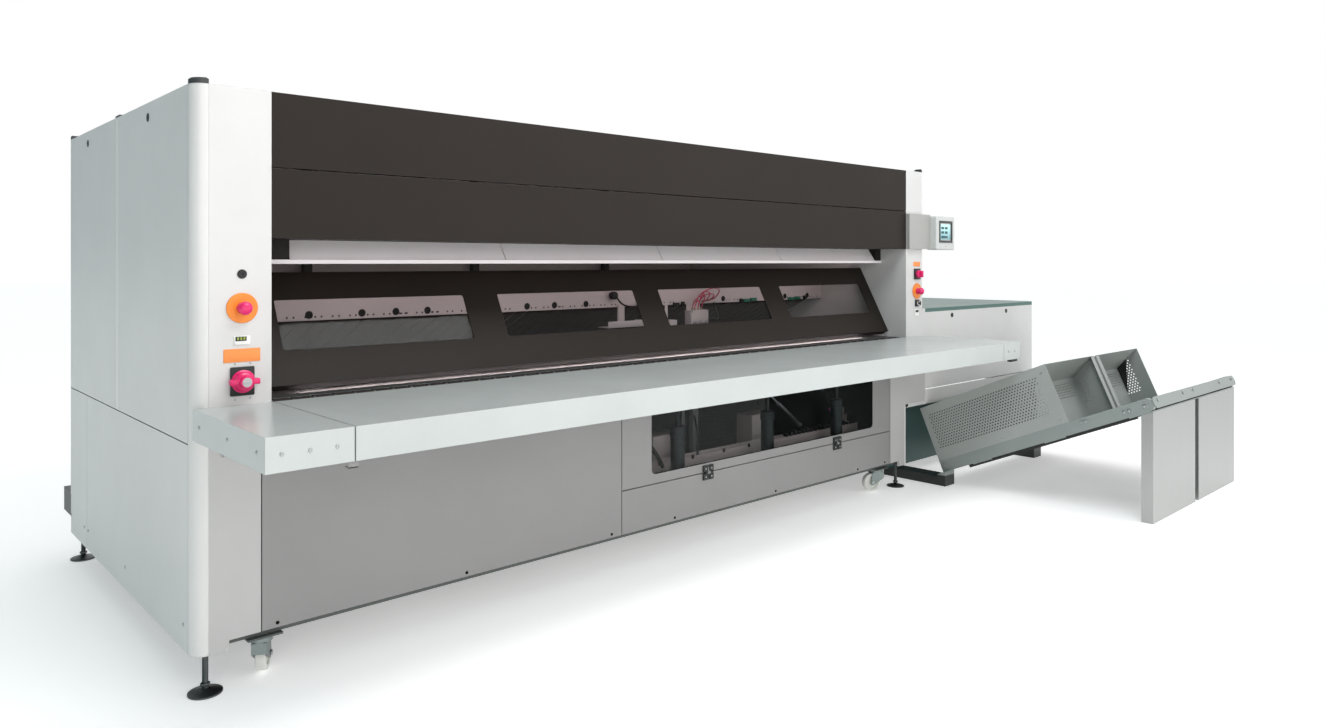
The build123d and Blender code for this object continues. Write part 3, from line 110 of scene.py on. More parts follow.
# the studio lights the machine in white, but for a teal cloth along its left side, and the backdrop
# behind the machine is plain white
CLOTH_FULL = -0.6                # how far a direction points to the right where the cloth is plain teal
CLOTH_END = 0.2
tree = world.node_tree
direction = add_node(tree, "SeparateXYZ", {"Vector": add_node(tree, "TexCoord").outputs["Generated"]})
cloth = add_node(tree, "MapRange", {"Value": direction.outputs["X"], "From Min": CLOTH_FULL,
                                    "From Max": CLOTH_END})
studio = add_node(tree, "ValToRGB", {"Fac": cloth.outputs["Result"]})
studio.color_ramp.elements[0].color = linear("#0F5F68")
studio.color_ramp.elements[1].color = linear("#FFFFFF")
seen = add_node(tree, "LightPath").outputs["Is Camera Ray"]
backdrop = add_node(tree, "Mix", {"Factor": seen, "A": studio.outputs["Color"], "B": linear("#FFFFFF")},
                    data_type="RGBA")
tree.links.new(backdrop.outputs["Result"], tree.nodes["Background"].inputs["Color"])
tree.nodes["Background"].inputs["Strength"].default_value = 1.0
bpy.context.scene.view_settings.view_transform = "Standard"

LIGHTS = (                       # name, place, aimed at, width, height, watts, colour
    ("key", (-7.6, -8.6, 3.2), (-0.6, -0.4, 0.8), 3.0, 3.0, 175, "#FFF4F2"),
    ("front", (-3.0, -5.2, 3.4), (-1.4, -0.4, 1.0), 2.0, 2.0, 15, "#FFF4F2"),
    ("right", (3.2, -5.6, 2.6), (2.0, -0.4, 0.9), 2.5, 1.5, 42, "#FFFAF8"),
    ("top", (-0.9, -2.0, 4.2), (-0.9, -0.6, 0.8), 3.6, 1.5, 95, "#FFFFFF"),
    ("low", (-0.5, -4.4, 0.6), (-0.5, -0.15, 1.31), 5.0, 0.5, 17, "#FFF0EE"),
    ("inside", (-0.7, 0.01, 1.25), (-0.7, 0.27, 1.08), 3.3, 0.06, 2.2, "#FFE6E4"),
    ("bed", (-0.7, -0.14, 0.895), (-0.7, -0.20, 0.845), 3.2, 0.02, 3.2, "#FFECEA"),
)
for name, place, target, width, height, watts, colour in LIGHTS:
    light = bpy.data.lights.new(name, "AREA")
    light.shape = "RECTANGLE"
    light.size = width
    light.size_y = height
    light.energy = watts
    light.color = linear(colour)[:3]
    lamp = bpy.data.objects.new(name, light)
    lamp.location = place
    lamp.rotation_euler = (Vector(target) - Vector(place)).to_track_quat("-Z", "Y").to_euler()
    lamp.visible_camera = False
    bpy.context.scene.collection.objects.link(lamp)

CAMERA_PLACE = (-3.473, -3.176, 1.270)
CAMERA_TURN = -42.93             # degrees about the upright axis
IMAGE_WIDTH = 1326
IMAGE_HEIGHT = 728
FOCAL_PIXELS = 911
HORIZON_ROW = 262
camera_data = bpy.data.cameras.new("camera")
camera_data.sensor_width = 36
camera_data.lens = FOCAL_PIXELS / IMAGE_WIDTH * camera_data.sensor_width
camera_data.shift_y = (HORIZON_ROW - IMAGE_HEIGHT / 2) / IMAGE_WIDTH
camera = bpy.data.objects.new("camera", camera_data)
camera.location = CAMERA_PLACE
camera.rotation_euler = Euler((math.radians(90), 0, math.radians(CAMERA_TURN)))
bpy.context.scene.collection.objects.link(camera)
bpy.context.scene.camera = camera


# ---- Base frame: welded square tube, uprights and caster plates, sprayed with a dark grey enamel that
# dries with a faint orange peel.
def coat(material, *nodes):
    """Gives CAD nodes a material."""
    for name in nodes:
        data = frame["nodes"][name].data
        data.materials.clear()
        data.materials.append(material)


def mottled(tree, shader, pattern, hex_colour, darkest, lightest, start=0, end=1):
    """Lets a pattern shift the colour between a darker and a lighter shade of it."""
    tone = add_node(tree, "ValToRGB", {"Fac": pattern.outputs["Fac"]})
    for stop, place, shade in zip(tone.color_ramp.elements, (start, end), (darkest, lightest)):
        stop.position = place
        stop.color = [min(1, c * shade) for c in linear(hex_colour)[:3]] + [1]
    tree.links.new(tone.outputs["Color"], shader.inputs["Base Color"])


def worn(tree, shader, pattern, smoothest, roughest):
    """Lets a pattern shift the roughness."""
    sheen = add_node(tree, "MapRange", {"Value": pattern.outputs["Fac"], "To Min": smoothest,
                                        "To Max": roughest})
    tree.links.new(sheen.outputs["Result"], shader.inputs["Roughness"])


def embossed(tree, shader, pattern, depth_mm, edge_mm, strength=0.5):
    """Raises a pattern on the surface, and lets light run softly round its edges."""
    rounded = add_node(tree, "Bevel", {"Radius": edge_mm / 1000}, samples=4)
    bump = add_node(tree, "Bump", {"Height": pattern.outputs["Fac"], "Distance": depth_mm / 1000,
                                   "Normal": rounded.outputs["Normal"], "Strength": strength})
    tree.links.new(bump.outputs["Normal"], shader.inputs["Normal"])


CLOUD_SIZE = 416.7               # millimetres across a faint change of shade
WIPE_SIZE = 333.3                # millimetres across a wiped patch


def sprayed(name, hex_colour, roughness, peel_mm, peel_depth_mm, edge_mm=1.5, cloud=0.05, shine=0.5):
    """A sprayed or powder coated sheet finish: orange peel, soft folded edges, faint cleaning marks."""
    material, tree, shader = new_material(name)
    place = add_node(tree, "TexCoord").outputs["Object"]
    clouds = add_node(tree, "TexNoise", {"Vector": place, "Scale": 1000 / CLOUD_SIZE, "Detail": 5,
                                         "Roughness": 0.6})
    mottled(tree, shader, clouds, hex_colour, 1 - cloud, 1 + cloud / 2, 0.3, 0.7)
    wiped = add_node(tree, "TexNoise", {"Vector": place, "Scale": 1000 / WIPE_SIZE, "Detail": 2})
    worn(tree, shader, wiped, roughness - 0.03, roughness + 0.04)
    shader.inputs["Specular IOR Level"].default_value = shine
    peel = add_node(tree, "TexNoise", {"Vector": place, "Scale": 1000 / peel_mm, "Detail": 1})
    embossed(tree, shader, peel, peel_depth_mm, edge_mm)
    return material


frame_enamel = sprayed("grey enamel, sprayed", "#4C5250", 0.5, 4, 0.1)
coat(frame_enamel, "base_frame")

# ---- Casing: folded sheet steel covers and rolled corner posts, powder coated in warm white. The coat is
# fine and satin, so broad soft reflections run over the flat covers.
BODY_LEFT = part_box("side_panels")[0].x
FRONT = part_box("column_covers")[0].y
BODY_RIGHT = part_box("side_panels")[1].x
SATIN = (0.36, 3, 0.05)          # roughness, then the orange peel's width and depth in millimetres


def at(x, y, z):
    """A point in millimetres: right of the body's left side, behind its front face, over the floor."""
    return Vector((BODY_LEFT + x / 1000, FRONT + y / 1000, z / 1000))


white_coat = sprayed("white powder coat, satin", "#D0D0CF", *SATIN)
coat(white_coat, "side_panels", "rear_panels", "roof_panels", "column_covers", "inner_end_plates")
post_coat = sprayed("white powder coat on rolled posts", "#D9D9D7", 0.34, 3, 0.05, edge_mm=7)
coat(post_coat, "corner_posts")
arm_coat = sprayed("grey powder coat, panel arm", "#A4A4A1", *SATIN)
coat(arm_coat, "hmi_arm")
# the lower covers and the door take a darker copy of the white coat: painted shade under the table
under_table_shade_coat = sprayed("grey powder coat, painted shade under the table", "#8B8A8A", *SATIN)
coat(under_table_shade_coat, "front_panel", "kick_panel", "access_door")
# the legs take a darker copy of the white coat: painted shade under the table
leg_shade_coat = sprayed("pale grey powder coat, painted shade on the legs", "#B6B6B5", *SATIN)
coat(leg_shade_coat, "leg_panels")


def within(tree, value, low, high):
    """One where a value lies between two limits, and nothing elsewhere."""
    above = add_node(tree, "Math", {0: value, 1: low}, operation="GREATER_THAN")
    below = add_node(tree, "Math", {0: value, 1: high}, operation="LESS_THAN")
    return add_node(tree, "Math", {0: above.outputs[0], 1: below.outputs[0]}, operation="MULTIPLY").outputs[0]


def masked(material, inner_hex, *limits):
    """Gives another colour to the part of a coat inside all limits, each an axis and two values on it."""
    tree = material.node_tree
    shader = tree.nodes["Principled BSDF"]
    axes = add_node(tree, "SeparateXYZ", {"Vector": add_node(tree, "TexCoord").outputs["Object"]})
    factor = 1
    for axis, low, high in limits:
        inside = within(tree, axes.outputs[axis], low, high)
        factor = add_node(tree, "Math", {0: inside, 1: factor}, operation="MULTIPLY").outputs[0]
    outer = shader.inputs["Base Color"].links[0].from_socket
    mixed = add_node(tree, "Mix", {"Factor": factor, "A": outer, "B": linear(inner_hex)}, data_type="RGBA")
    tree.links.new(mixed.outputs["Result"], shader.inputs["Base Color"])


# the cabinet is white, with painted dark green shade on its recessed lower panel and painted green grey shade
# on its smooth lid
RECESS_TOP = 0.435
RECESS_DEPTHS = (0.165, 0.2)     # metres behind the front face
cabinet_coat = sprayed("white powder coat, cabinet", "#D0D0CF", *SATIN)
# the mask paints dark green shade over the recessed lower panel
masked(cabinet_coat, "#2F4F4C", ("Z", 0, RECESS_TOP), ("Y", *(FRONT + depth for depth in RECESS_DEPTHS)))
coat(cabinet_coat, "crossfolder_panels")
# the lid's green grey is painted shade, standing in for the shade on the cabinet's top
lid_shade_coat = sprayed("green grey powder coat, painted shade on the lid", "#3F675F", 0.35, 12, 0.01)
coat(lid_shade_coat, "crossfolder_lid")


# ---- Post caps and lock plugs: injection moulded dark plastic, pressed into the posts and covers. Each
# plug has a raised rim and a recessed centre with a three-cornered key.
def join(shape, part):
    """Adds a part's bmesh to a shape."""
    mesh = bpy.data.meshes.new("part")
    part.to_mesh(mesh)
    part.free()
    shape.from_mesh(mesh)
    bpy.data.meshes.remove(mesh)


def facing(point, direction):
    """A place at a point, with its own z axis along a direction."""
    turn = Vector(direction).to_track_quat("Z", "Y").to_matrix().to_4x4()
    return Matrix.Translation(point) @ turn


def add_turned(shape, outline, place, steps=24):
    """A round part: an outline of radius and height pairs in millimetres, spun about the place's z axis."""
    part = bmesh.new()
    verts = [part.verts.new((radius / 1000, 0, height / 1000)) for radius, height in outline]
    edges = [part.edges.new(pair) for pair in zip(verts, verts[1:])]
    bmesh.ops.spin(part, geom=verts + edges, cent=(0, 0, 0), axis=(0, 0, 1), angle=math.tau, steps=steps,
                   use_merge=True)
    bmesh.ops.remove_doubles(part, verts=part.verts, dist=1e-6)
    bmesh.ops.recalc_face_normals(part, faces=part.faces)
    bmesh.ops.transform(part, matrix=place, verts=part.verts)
    join(shape, part)


def add_block(shape, low, high, edge_mm=1.0, place=None):
    """A block between two corners, its edges rounded."""
    part = bmesh.new()
    bmesh.ops.create_cube(part, size=1)
    bmesh.ops.scale(part, vec=Vector(high) - Vector(low), verts=part.verts)
    bmesh.ops.translate(part, vec=(Vector(low) + Vector(high)) / 2, verts=part.verts)
    bmesh.ops.bevel(part, geom=part.edges, offset=edge_mm / 1000, segments=2, affect="EDGES", profile=0.5,
                    material=-1)
    if place:
        bmesh.ops.transform(part, matrix=place, verts=part.verts)
    join(shape, part)


def add_prism(shape, sides, radius_mm, low_mm, high_mm, place, edge_mm=0.4, turn=0.0):
    """A straight bar with a regular section along the place's z axis, its end edges rounded."""
    part = bmesh.new()
    middle = Matrix.Translation((0, 0, (low_mm + high_mm) / 2000)) @ Matrix.Rotation(turn, 4, "Z")
    bmesh.ops.create_cone(part, cap_ends=True, cap_tris=False, segments=sides, radius1=radius_mm / 1000,
                          radius2=radius_mm / 1000, depth=(high_mm - low_mm) / 1000, matrix=middle)
    rims = [edge for edge in part.edges if abs(edge.verts[0].co.z - edge.verts[1].co.z) < 1e-7]
    bmesh.ops.bevel(part, geom=rims, offset=edge_mm / 1000, segments=2, affect="EDGES", profile=0.5,
                    material=-1)
    bmesh.ops.transform(part, matrix=place, verts=part.verts)
    join(shape, part)


HANDLED_SIZE = 16.667            # millimetres across a spot polished by hands


def moulded(name, hex_colour, roughness, grain_mm=1.2, grain_depth_mm=0.03):
    """Moulded plastic: an even colour, a fine spark-eroded grain and slightly handled edges."""
    material, tree, shader = new_material(name)
    place = add_node(tree, "TexCoord").outputs["Object"]
    handled = add_node(tree, "TexNoise", {"Vector": place, "Scale": 1000 / HANDLED_SIZE, "Detail": 4})
    mottled(tree, shader, handled, hex_colour, 0.9, 1.06)
    worn(tree, shader, handled, roughness - 0.06, roughness + 0.06)
    shader.inputs["IOR"].default_value = 1.49
    grain = add_node(tree, "TexNoise", {"Vector": place, "Scale": 1000 / grain_mm, "Detail": 2})
    embossed(tree, shader, grain, grain_depth_mm, 0.6, 0.6)
    return material


# the mould's fine grain keeps the plastic dull, and hands polish it in patches
cap_plastic = moulded("moulded ABS, dark grey", "#3C3E3F", 0.45)
coat(cap_plastic, "post_caps")
black_plastic = moulded("moulded ABS, black", "#17181A", 0.42)
PLUG_OUTLINE = ((0, 1.2), (4, 1.2), (5, 2.4), (11, 2.4), (14, 1.8), (14, 0), (0, 0))
LEFT_PLUG = (136, 0, 1234)
SIDE_PLUGS = (481, 1374)         # behind the front face
SIDE_PLUG_HEIGHT = 1742
CABINET_PLUGS = (4238, 4925)
CABINET_PLUG_HEIGHT = 950
plugs = bmesh.new()
plug_places = [facing(at(*LEFT_PLUG), (0, -1, 0))]
plug_places += [facing(at(x, 0, CABINET_PLUG_HEIGHT), (0, -1, 0)) for x in CABINET_PLUGS]
for plug_y in SIDE_PLUGS:
    left_place = at(0, plug_y, SIDE_PLUG_HEIGHT)
    plug_places.append(facing(left_place, (-1, 0, 0)))
    plug_places.append(facing(Vector((BODY_RIGHT, *left_place.yz)), (1, 0, 0)))
for place in plug_places:
    add_turned(plugs, PLUG_OUTLINE, place)
    add_prism(plugs, 3, 2.6, 1.0, 2.2, place)
finished(plugs, "lock_plugs", black_plastic, instead_of=("panel_locks",))


# ---- Screws of the covers: button heads with a hexagon socket, driven into the covers' folded edges.
# Those along the foot of the front covers are blackened, and the rest are zinc plated.
def metal(name, hex_colour, roughness, brush=None, pit_mm=0.6, pit_depth_mm=0.02):
    """Bare or plated metal. Brush gives the grain's length along x, y and z, in millimetres."""
    material, tree, shader = new_material(name)
    shader.inputs["Metallic"].default_value = 1
    place = add_node(tree, "TexCoord").outputs["Object"]
    if brush:
        stretch = [1000 / length for length in brush]
        place = add_node(tree, "Mapping", {"Vector": place, "Scale": stretch}).outputs["Vector"]
        grain = add_node(tree, "TexNoise", {"Vector": place, "Scale": 1, "Detail": 4, "Roughness": 0.7})
    else:
        grain = add_node(tree, "TexNoise", {"Vector": place, "Scale": 1000 / pit_mm, "Detail": 3})
    mottled(tree, shader, grain, hex_colour, 0.82, 1.08, 0.25, 0.75)
    worn(tree, shader, grain, roughness - 0.07, roughness + 0.1)
    embossed(tree, shader, grain, pit_depth_mm, 0.8)
    return material


# zinc plate is pale and a little cloudy
zinc = metal("zinc plated steel", "#B4B8B9", 0.36)
SCREW_OUTLINE = ((0, 1.4), (2.1, 1.4), (2.3, 2.6), (4.6, 2.2), (5.6, 1.0), (5.8, 0), (0, 0))


def add_screws(shape, points, direction, size=1.0):
    """Screw heads at points, facing a direction."""
    outline = [(radius * size, height * size) for radius, height in SCREW_OUTLINE]
    for point in points:
        add_turned(shape, outline, facing(point, direction), steps=12)


LOWER_FACE = 2                   # the lower front covers stand this far behind the columns
REAR_FACE = 1750
FRONT_SCREWS = (241, 900, 1569, 1922, 2595, 3269, 3523)
SIDE_SCREWS = (90, 780, 1370, 1440, 1690)
REAR_SCREWS = (70, 930, 1040, 1890, 2000, 2850, 2960, 3860)
REAR_SCREW_HEIGHTS = (190, 700, 775, 1760)
front_screws = bmesh.new()
add_screws(front_screws, [at(x, LOWER_FACE, 166) for x in FRONT_SCREWS], (0, -1, 0))
finished(front_screws, "front_cover_screws", metal("blackened steel", "#1A1A1B", 0.55))
cover_screws = bmesh.new()
add_screws(cover_screws, [at(0, y, 200) for y in SIDE_SCREWS], (-1, 0, 0))
add_screws(cover_screws, [at(x, REAR_FACE, z) for x in REAR_SCREWS for z in REAR_SCREW_HEIGHTS], (0, 1, 0))
finished(cover_screws, "cover_screws", zinc)

# ---- Fascias and guard: folded sheet, powder coated in dark brown grey, with the orange peel of a thick
# coat. The upper fascia hangs over the lower one with an open joint between them.
dark_coat = sprayed("dark powder coat, satin", "#211B16", 0.5, 3, 0.06, cloud=0.08, shine=0.22)
coat(dark_coat, "upper_fascia", "lower_fascia")
guard_coat = sprayed("dark powder coat, matt", "#211B17", 0.5, 3, 0.08, cloud=0.1, shine=0.2)
coat(guard_coat, "guard_frame")

# ---- Deflector: four white sheets over the guard with a bright lip rail along their lower edge, held by
# small rivets through the seam of each sheet. Their smooth coat catches the light in a clear band.
deflector_coat = sprayed("white powder coat, semi gloss", "#FFF8FA", 0.22, 3, 0.02)
coat(deflector_coat, "deflector_plates")

# ---- Panes: clear polycarbonate sheets behind the guard's windows and in the door, held by their edges.
# They are smooth, a little tinted by the dark behind them, and hazy where they have been wiped.
HAZE_SIZE = 71.43                # millimetres across a wiped spot
clear, tree, shader = new_material("clear polycarbonate")
shader.inputs["Base Color"].default_value = linear("#0E1312")
shader.inputs["Alpha"].default_value = 0.14
shader.inputs["IOR"].default_value = 1.585
place = add_node(tree, "TexCoord").outputs["Object"]
haze = add_node(tree, "TexNoise", {"Vector": place, "Scale": 1000 / HAZE_SIZE, "Detail": 5})
worn(tree, shader, haze, 0.02, 0.1)
coat(clear, "guard_panes", "door_pane")

# ---- Beam and end plates: the beam is a folded and perforated sheet across the machine, over the tapes.
# It carries groups of small holes for sensors and cable ties, with rubber grommets in the large ones. Its
# satin coat spreads the light evenly.
beam_coat = sprayed("grey white powder coat, satin", "#D9D2D3", 0.4, 3, 0.04)
coat(beam_coat, "perforated_beam")
SHEET = 2                        # thickness of folded sheets, in millimetres
PERFORATION = 4.2                # radius of the holes in perforated sheets
BEAM_HOLES = (400, 575, 785, 929, 1070, 1290, 1567, 1720, 1905, 2300, 2860, 3390, 3600)
BEAM_HOLE_HEIGHT = 1069
SMALL_HOLES = (24, 48, 92, 117, 161, 185)          # to the right of each large hole
SMALL_HOLE_DROP = 8
beam_low, beam_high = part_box("perforated_beam")
beam_depth = (beam_high.y - beam_low.y) * 1000
beam_face = (beam_low.y - FRONT) * 1000


def add_sheet(shape, outline, place, holes=(), radius=PERFORATION, sides=8):
    """A flat sheet on the place's x and y, cut to an outline, with round holes, all in millimetres."""
    part = bmesh.new()
    corners = [part.verts.new((u / 1000, v / 1000, 0)) for u, v in outline]
    for pair in zip(corners, corners[1:] + corners[:1]):
        part.edges.new(pair)
    for u, v in holes:
        bmesh.ops.create_circle(part, cap_ends=False, segments=sides, radius=radius / 1000,
                                matrix=Matrix.Translation((u / 1000, v / 1000, 0)))
    bmesh.ops.triangle_fill(part, use_beauty=True, edges=part.edges)
    raised = bmesh.ops.extrude_face_region(part, geom=part.faces)
    top = [g for g in raised["geom"] if isinstance(g, bmesh.types.BMVert)]
    bmesh.ops.translate(part, vec=(0, 0, SHEET / 1000), verts=top)
    bmesh.ops.recalc_face_normals(part, faces=part.faces)
    bmesh.ops.transform(part, matrix=place, verts=part.verts)
    join(shape, part)


FRONT_PLANE = Matrix(((1, 0, 0, 0), (0, 0, -1, 0), (0, 1, 0, 0), (0, 0, 0, 1)))   # sheet's x and y to x and z
beam = bmesh.new()
low_x, high_x = ((end - BODY_LEFT) * 1000 for end in (beam_low.x, beam_high.x))
low_z, high_z = beam_low.z * 1000, beam_high.z * 1000
add_sheet(beam, ((low_x, low_z), (high_x, low_z), (high_x, high_z), (low_x, high_z)),
          Matrix.Translation(at(0, beam_face + SHEET, 0)) @ FRONT_PLANE,
          [(x, BEAM_HOLE_HEIGHT) for x in BEAM_HOLES], radius=13, sides=16)
for flange_z in (low_z, high_z - SHEET):
    add_block(beam, at(low_x, beam_face, flange_z),
              at(high_x, beam_face + beam_depth, flange_z + SHEET), 0.5)
finished(beam, "drilled_beam", beam_coat, instead_of=("perforated_beam",))
# rubber is matt and shows no clear reflection
rubber = moulded("black rubber, moulded", "#101112", 0.6)
GROMMET_OUTLINE = ((0, -1.5), (11, -1.5), (11.5, 0.6), (13, 1.4), (15, 0.8), (15.4, 0), (13, -1.5))
TIE_OUTLINE = ((0, 0.3), (4, 0.3), (4, 0), (0, 0))
grommets = bmesh.new()
for x in BEAM_HOLES:
    place = facing(at(x, beam_face, BEAM_HOLE_HEIGHT), (0, -1, 0))
    add_turned(grommets, GROMMET_OUTLINE, place, steps=16)
    for offset in SMALL_HOLES:
        if x + offset < high_x:
            small = at(x + offset, beam_face, BEAM_HOLE_HEIGHT - SMALL_HOLE_DROP)
            add_turned(grommets, TIE_OUTLINE, facing(small, (0, -1, 0)), steps=8)
finished(grommets, "beam_grommets", rubber)

# ---- Tape conveyors: endless tapes of black coated fabric, running over the bed and up the incline. Two
# bands of painted highlight cross the bed's tapes; steel hooks lace the tapes' ends together.
TAPE_PITCH = 67
TAPE_WIDTH = 59
TAPE_THICKNESS = 2.7
TAPE_CLEARANCE = 0.3             # over the rollers
WAVE_PERIOD = math.tau / 20      # of the wave pattern at a scale of one
WEAVE_PITCH = 9.865              # from rib to rib, coarser than the real weave so that it shows
FLUFF_SIZE = 8.333               # millimetres across a spot of fluff
TAPE_SEGMENTS = 24
PLAIN_UNTIL = 430                # the tapes left of this place carry no bands
bed_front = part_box("bed_front_roller")
bed_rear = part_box("bed_rear_roller")
incline_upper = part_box("incline_upper_roller")
incline_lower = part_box("incline_lower_roller")
tape_low, tape_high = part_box("bed_tapes")


def axis_of(box):
    """The y and z of the middle of a roller's box."""
    return Vector((0, (box[0].y + box[1].y) / 2, (box[0].z + box[1].z) / 2))


def add_loop(shape, start, end, radius, thickness, low_x, high_x):
    """A closed band round two equal rollers, in metres: a circle whose far half is carried to the far one."""
    part = bmesh.new()
    turn = Matrix.Rotation(math.radians(90), 4, "Y") @ Matrix.Rotation(math.pi / TAPE_SEGMENTS, 4, "Z")
    bmesh.ops.create_circle(part, cap_ends=False, segments=TAPE_SEGMENTS, radius=radius, matrix=turn)
    run = end - start
    heading = Matrix.Rotation(math.atan2(run.z, run.y), 4, "X")
    far = [v for v in part.verts if v.co.y > 0]
    bmesh.ops.translate(part, vec=(0, run.length, 0), verts=far)
    bmesh.ops.transform(part, matrix=Matrix.Translation(start) @ heading, verts=part.verts)
    bmesh.ops.translate(part, vec=(low_x, 0, 0), verts=part.verts)
    swept = bmesh.ops.extrude_edge_only(part, edges=part.edges)
    moved = [g for g in swept["geom"] if isinstance(g, bmesh.types.BMVert)]
    bmesh.ops.translate(part, vec=(high_x - low_x, 0, 0), verts=moved)
    bmesh.ops.recalc_face_normals(part, faces=part.faces)
    bmesh.ops.solidify(part, geom=part.faces, thickness=thickness)
    bmesh.ops.recalc_face_normals(part, faces=part.faces)
    join(shape, part)


def tape_material(name, hex_colour, stripe_hex, bands=()):
    """Coated fabric tape: a woven ground under a thin coat, darker ribs across, and painted highlight bands.
    """
    material, tree, shader = new_material(name)
    place = add_node(tree, "TexCoord").outputs["Object"]
    weave = add_node(tree, "TexWave", {"Vector": place, "Scale": 1000 * WAVE_PERIOD / WEAVE_PITCH,
                                       "Distortion": 0.4}, wave_type="BANDS", bands_direction="Y")
    fluff = add_node(tree, "TexNoise", {"Vector": place, "Scale": 1000 / FLUFF_SIZE, "Detail": 4})
    mixed = add_node(tree, "Mix", {"Factor": fluff.outputs["Fac"], "A": linear(hex_colour),
                                   "B": linear(stripe_hex)}, data_type="RGBA")
    colour = mixed.outputs["Result"]
    axes = add_node(tree, "SeparateXYZ", {"Vector": place})
    # each band paints a highlight across the tapes
    for low, high, highlight_hex in bands:
        across = within(tree, axes.outputs["Y"], low, high)
        banded = within(tree, axes.outputs["X"], at(PLAIN_UNTIL, 0, 0).x, BODY_RIGHT)
        inside = add_node(tree, "Math", {0: across, 1: banded}, operation="MULTIPLY")
        colour = add_node(tree, "Mix", {"Factor": inside.outputs[0], "A": colour, "B": linear(highlight_hex)},
                          data_type="RGBA").outputs["Result"]
    tree.links.new(colour, shader.inputs["Base Color"])
    shader.inputs["Roughness"].default_value = 0.65
    shader.inputs["Specular IOR Level"].default_value = 0.15
    bump = add_node(tree, "Bump", {"Height": weave.outputs["Fac"], "Distance": 0.0003, "Strength": 0.6})
    tree.links.new(bump.outputs["Normal"], shader.inputs["Normal"])
    return material


# both bands are painted highlights, light falling across the bed tapes near the front
BED_HIGHLIGHTS = ((135, 225, "#F2D3D8"), (282, 300, "#C9A2A8"))   # from, to, behind the front face
bed_cloth = tape_material("coated polyester tape, bed", "#2A2726", "#3A3634",
                          [(FRONT + low / 1000, FRONT + high / 1000, tint) for low, high, tint in BED_HIGHLIGHTS])
incline_cloth = tape_material("coated polyester tape, incline", "#3A2C28", "#57443F")
tape_count = round((tape_high.x - tape_low.x + (TAPE_PITCH - TAPE_WIDTH) / 1000) * 1000 / TAPE_PITCH)
bed_radius = (bed_front[1].z - bed_front[0].z) / 2
incline_radius = (incline_upper[1].z - incline_upper[0].z) / 2
bed_loops = bmesh.new()
incline_loops = bmesh.new()
lacings = bmesh.new()
HOOKS = 3                        # on each tape
HOOK_INSET = 0.012
HOOK_PITCH = 0.0145
HOOK_PLACE = 0.72                # of the way down the incline
incline_run = axis_of(incline_lower) - axis_of(incline_upper)
lace_at = axis_of(incline_upper) + HOOK_PLACE * incline_run
lace_turn = Matrix.Rotation(math.atan2(incline_run.z, incline_run.y), 4, "X")
hook_low = incline_radius + (TAPE_THICKNESS + 0.2) / 1000
for i in range(tape_count):
    low_x = tape_low.x + i * TAPE_PITCH / 1000
    high_x = low_x + TAPE_WIDTH / 1000
    for loops, start, end, radius in ((bed_loops, bed_front, bed_rear, bed_radius),
                                      (incline_loops, incline_upper, incline_lower, incline_radius)):
        add_loop(loops, axis_of(start), axis_of(end), radius + TAPE_CLEARANCE / 1000,
                 TAPE_THICKNESS / 1000, low_x, high_x)
    for k in range(HOOKS):
        hook_x = low_x + (HOOK_INSET + HOOK_PITCH * k)
        hook = Matrix.Translation(lace_at + Vector((hook_x, 0, 0))) @ lace_turn
        add_block(lacings, (0, -0.004, hook_low), (0.006, 0.004, hook_low + 0.0008), 0.3, hook)
finished(bed_loops, "bed_tape_loops", bed_cloth, instead_of=("bed_tapes",))
finished(incline_loops, "incline_tape_loops", incline_cloth, instead_of=("incline_tapes",))
finished(lacings, "tape_lacing_hooks", zinc)
# turning leaves fine rings round the rollers, so each shows one soft bright line
turned_steel = metal("turned steel tube", "#A9ACAD", 0.32, brush=(0.25, 166.7, 166.7))
coat(turned_steel, "bed_front_roller", "bed_rear_roller", "incline_upper_roller", "incline_lower_roller",
     "stacker_head_roller", "stacker_tail_roller")
# rolling leaves fine lines along the sheet
bed_steel = metal("cold rolled steel sheet", "#9EA1A1", 0.4, brush=(166.7, 1.111, 166.7))
coat(bed_steel, "bed_plate")
# cast iron is pitted and dull, and the motor's paint lies thick
bearing_iron = metal("cast iron, machined face", "#7F8385", 0.5, pit_mm=1.5, pit_depth_mm=0.1)
coat(bearing_iron, "roller_bearings")
motor_paint = sprayed("blue grey machine paint", "#5B646A", 0.45, 5, 0.1)
coat(motor_paint, "drive_gearmotor")

# ---- Table: folded sheet in three parts, powder coated in a smooth light grey that reflects the columns.
# Its long leaf hinges between two end pieces; screws hold the end pieces through their aprons.
table_coat = sprayed("light grey powder coat, smooth", "#B9BFBD", 0.24, 12, 0.01)
coat(table_coat, "table_leaf", "table_ends")
coat(zinc, "table_brackets")
table_screws = bmesh.new()
TABLE_FRONT = (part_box("table_ends")[0].y - FRONT) * 1000
TABLE_SCREW_HEIGHT = 800
APRON_SCREWS = [at(x, TABLE_FRONT, TABLE_SCREW_HEIGHT) for x in (40, 110, 180, 3790, 3860)]
END_SCREWS = [at(0, y, TABLE_SCREW_HEIGHT) for y in (-520, -300, -60)]
add_screws(table_screws, APRON_SCREWS, (0, -1, 0))
add_screws(table_screws, END_SCREWS, (-1, 0, 0))
finished(table_screws, "table_screws", zinc)


def blocks_at(*rows):
    """Blocks in a new shape: two corners each, in millimetres as for at(), then the edges' radius."""
    shape = bmesh.new()
    for *corners, edge_mm in rows:
        add_block(shape, at(*corners[:3]), at(*corners[3:]), edge_mm)
    return shape


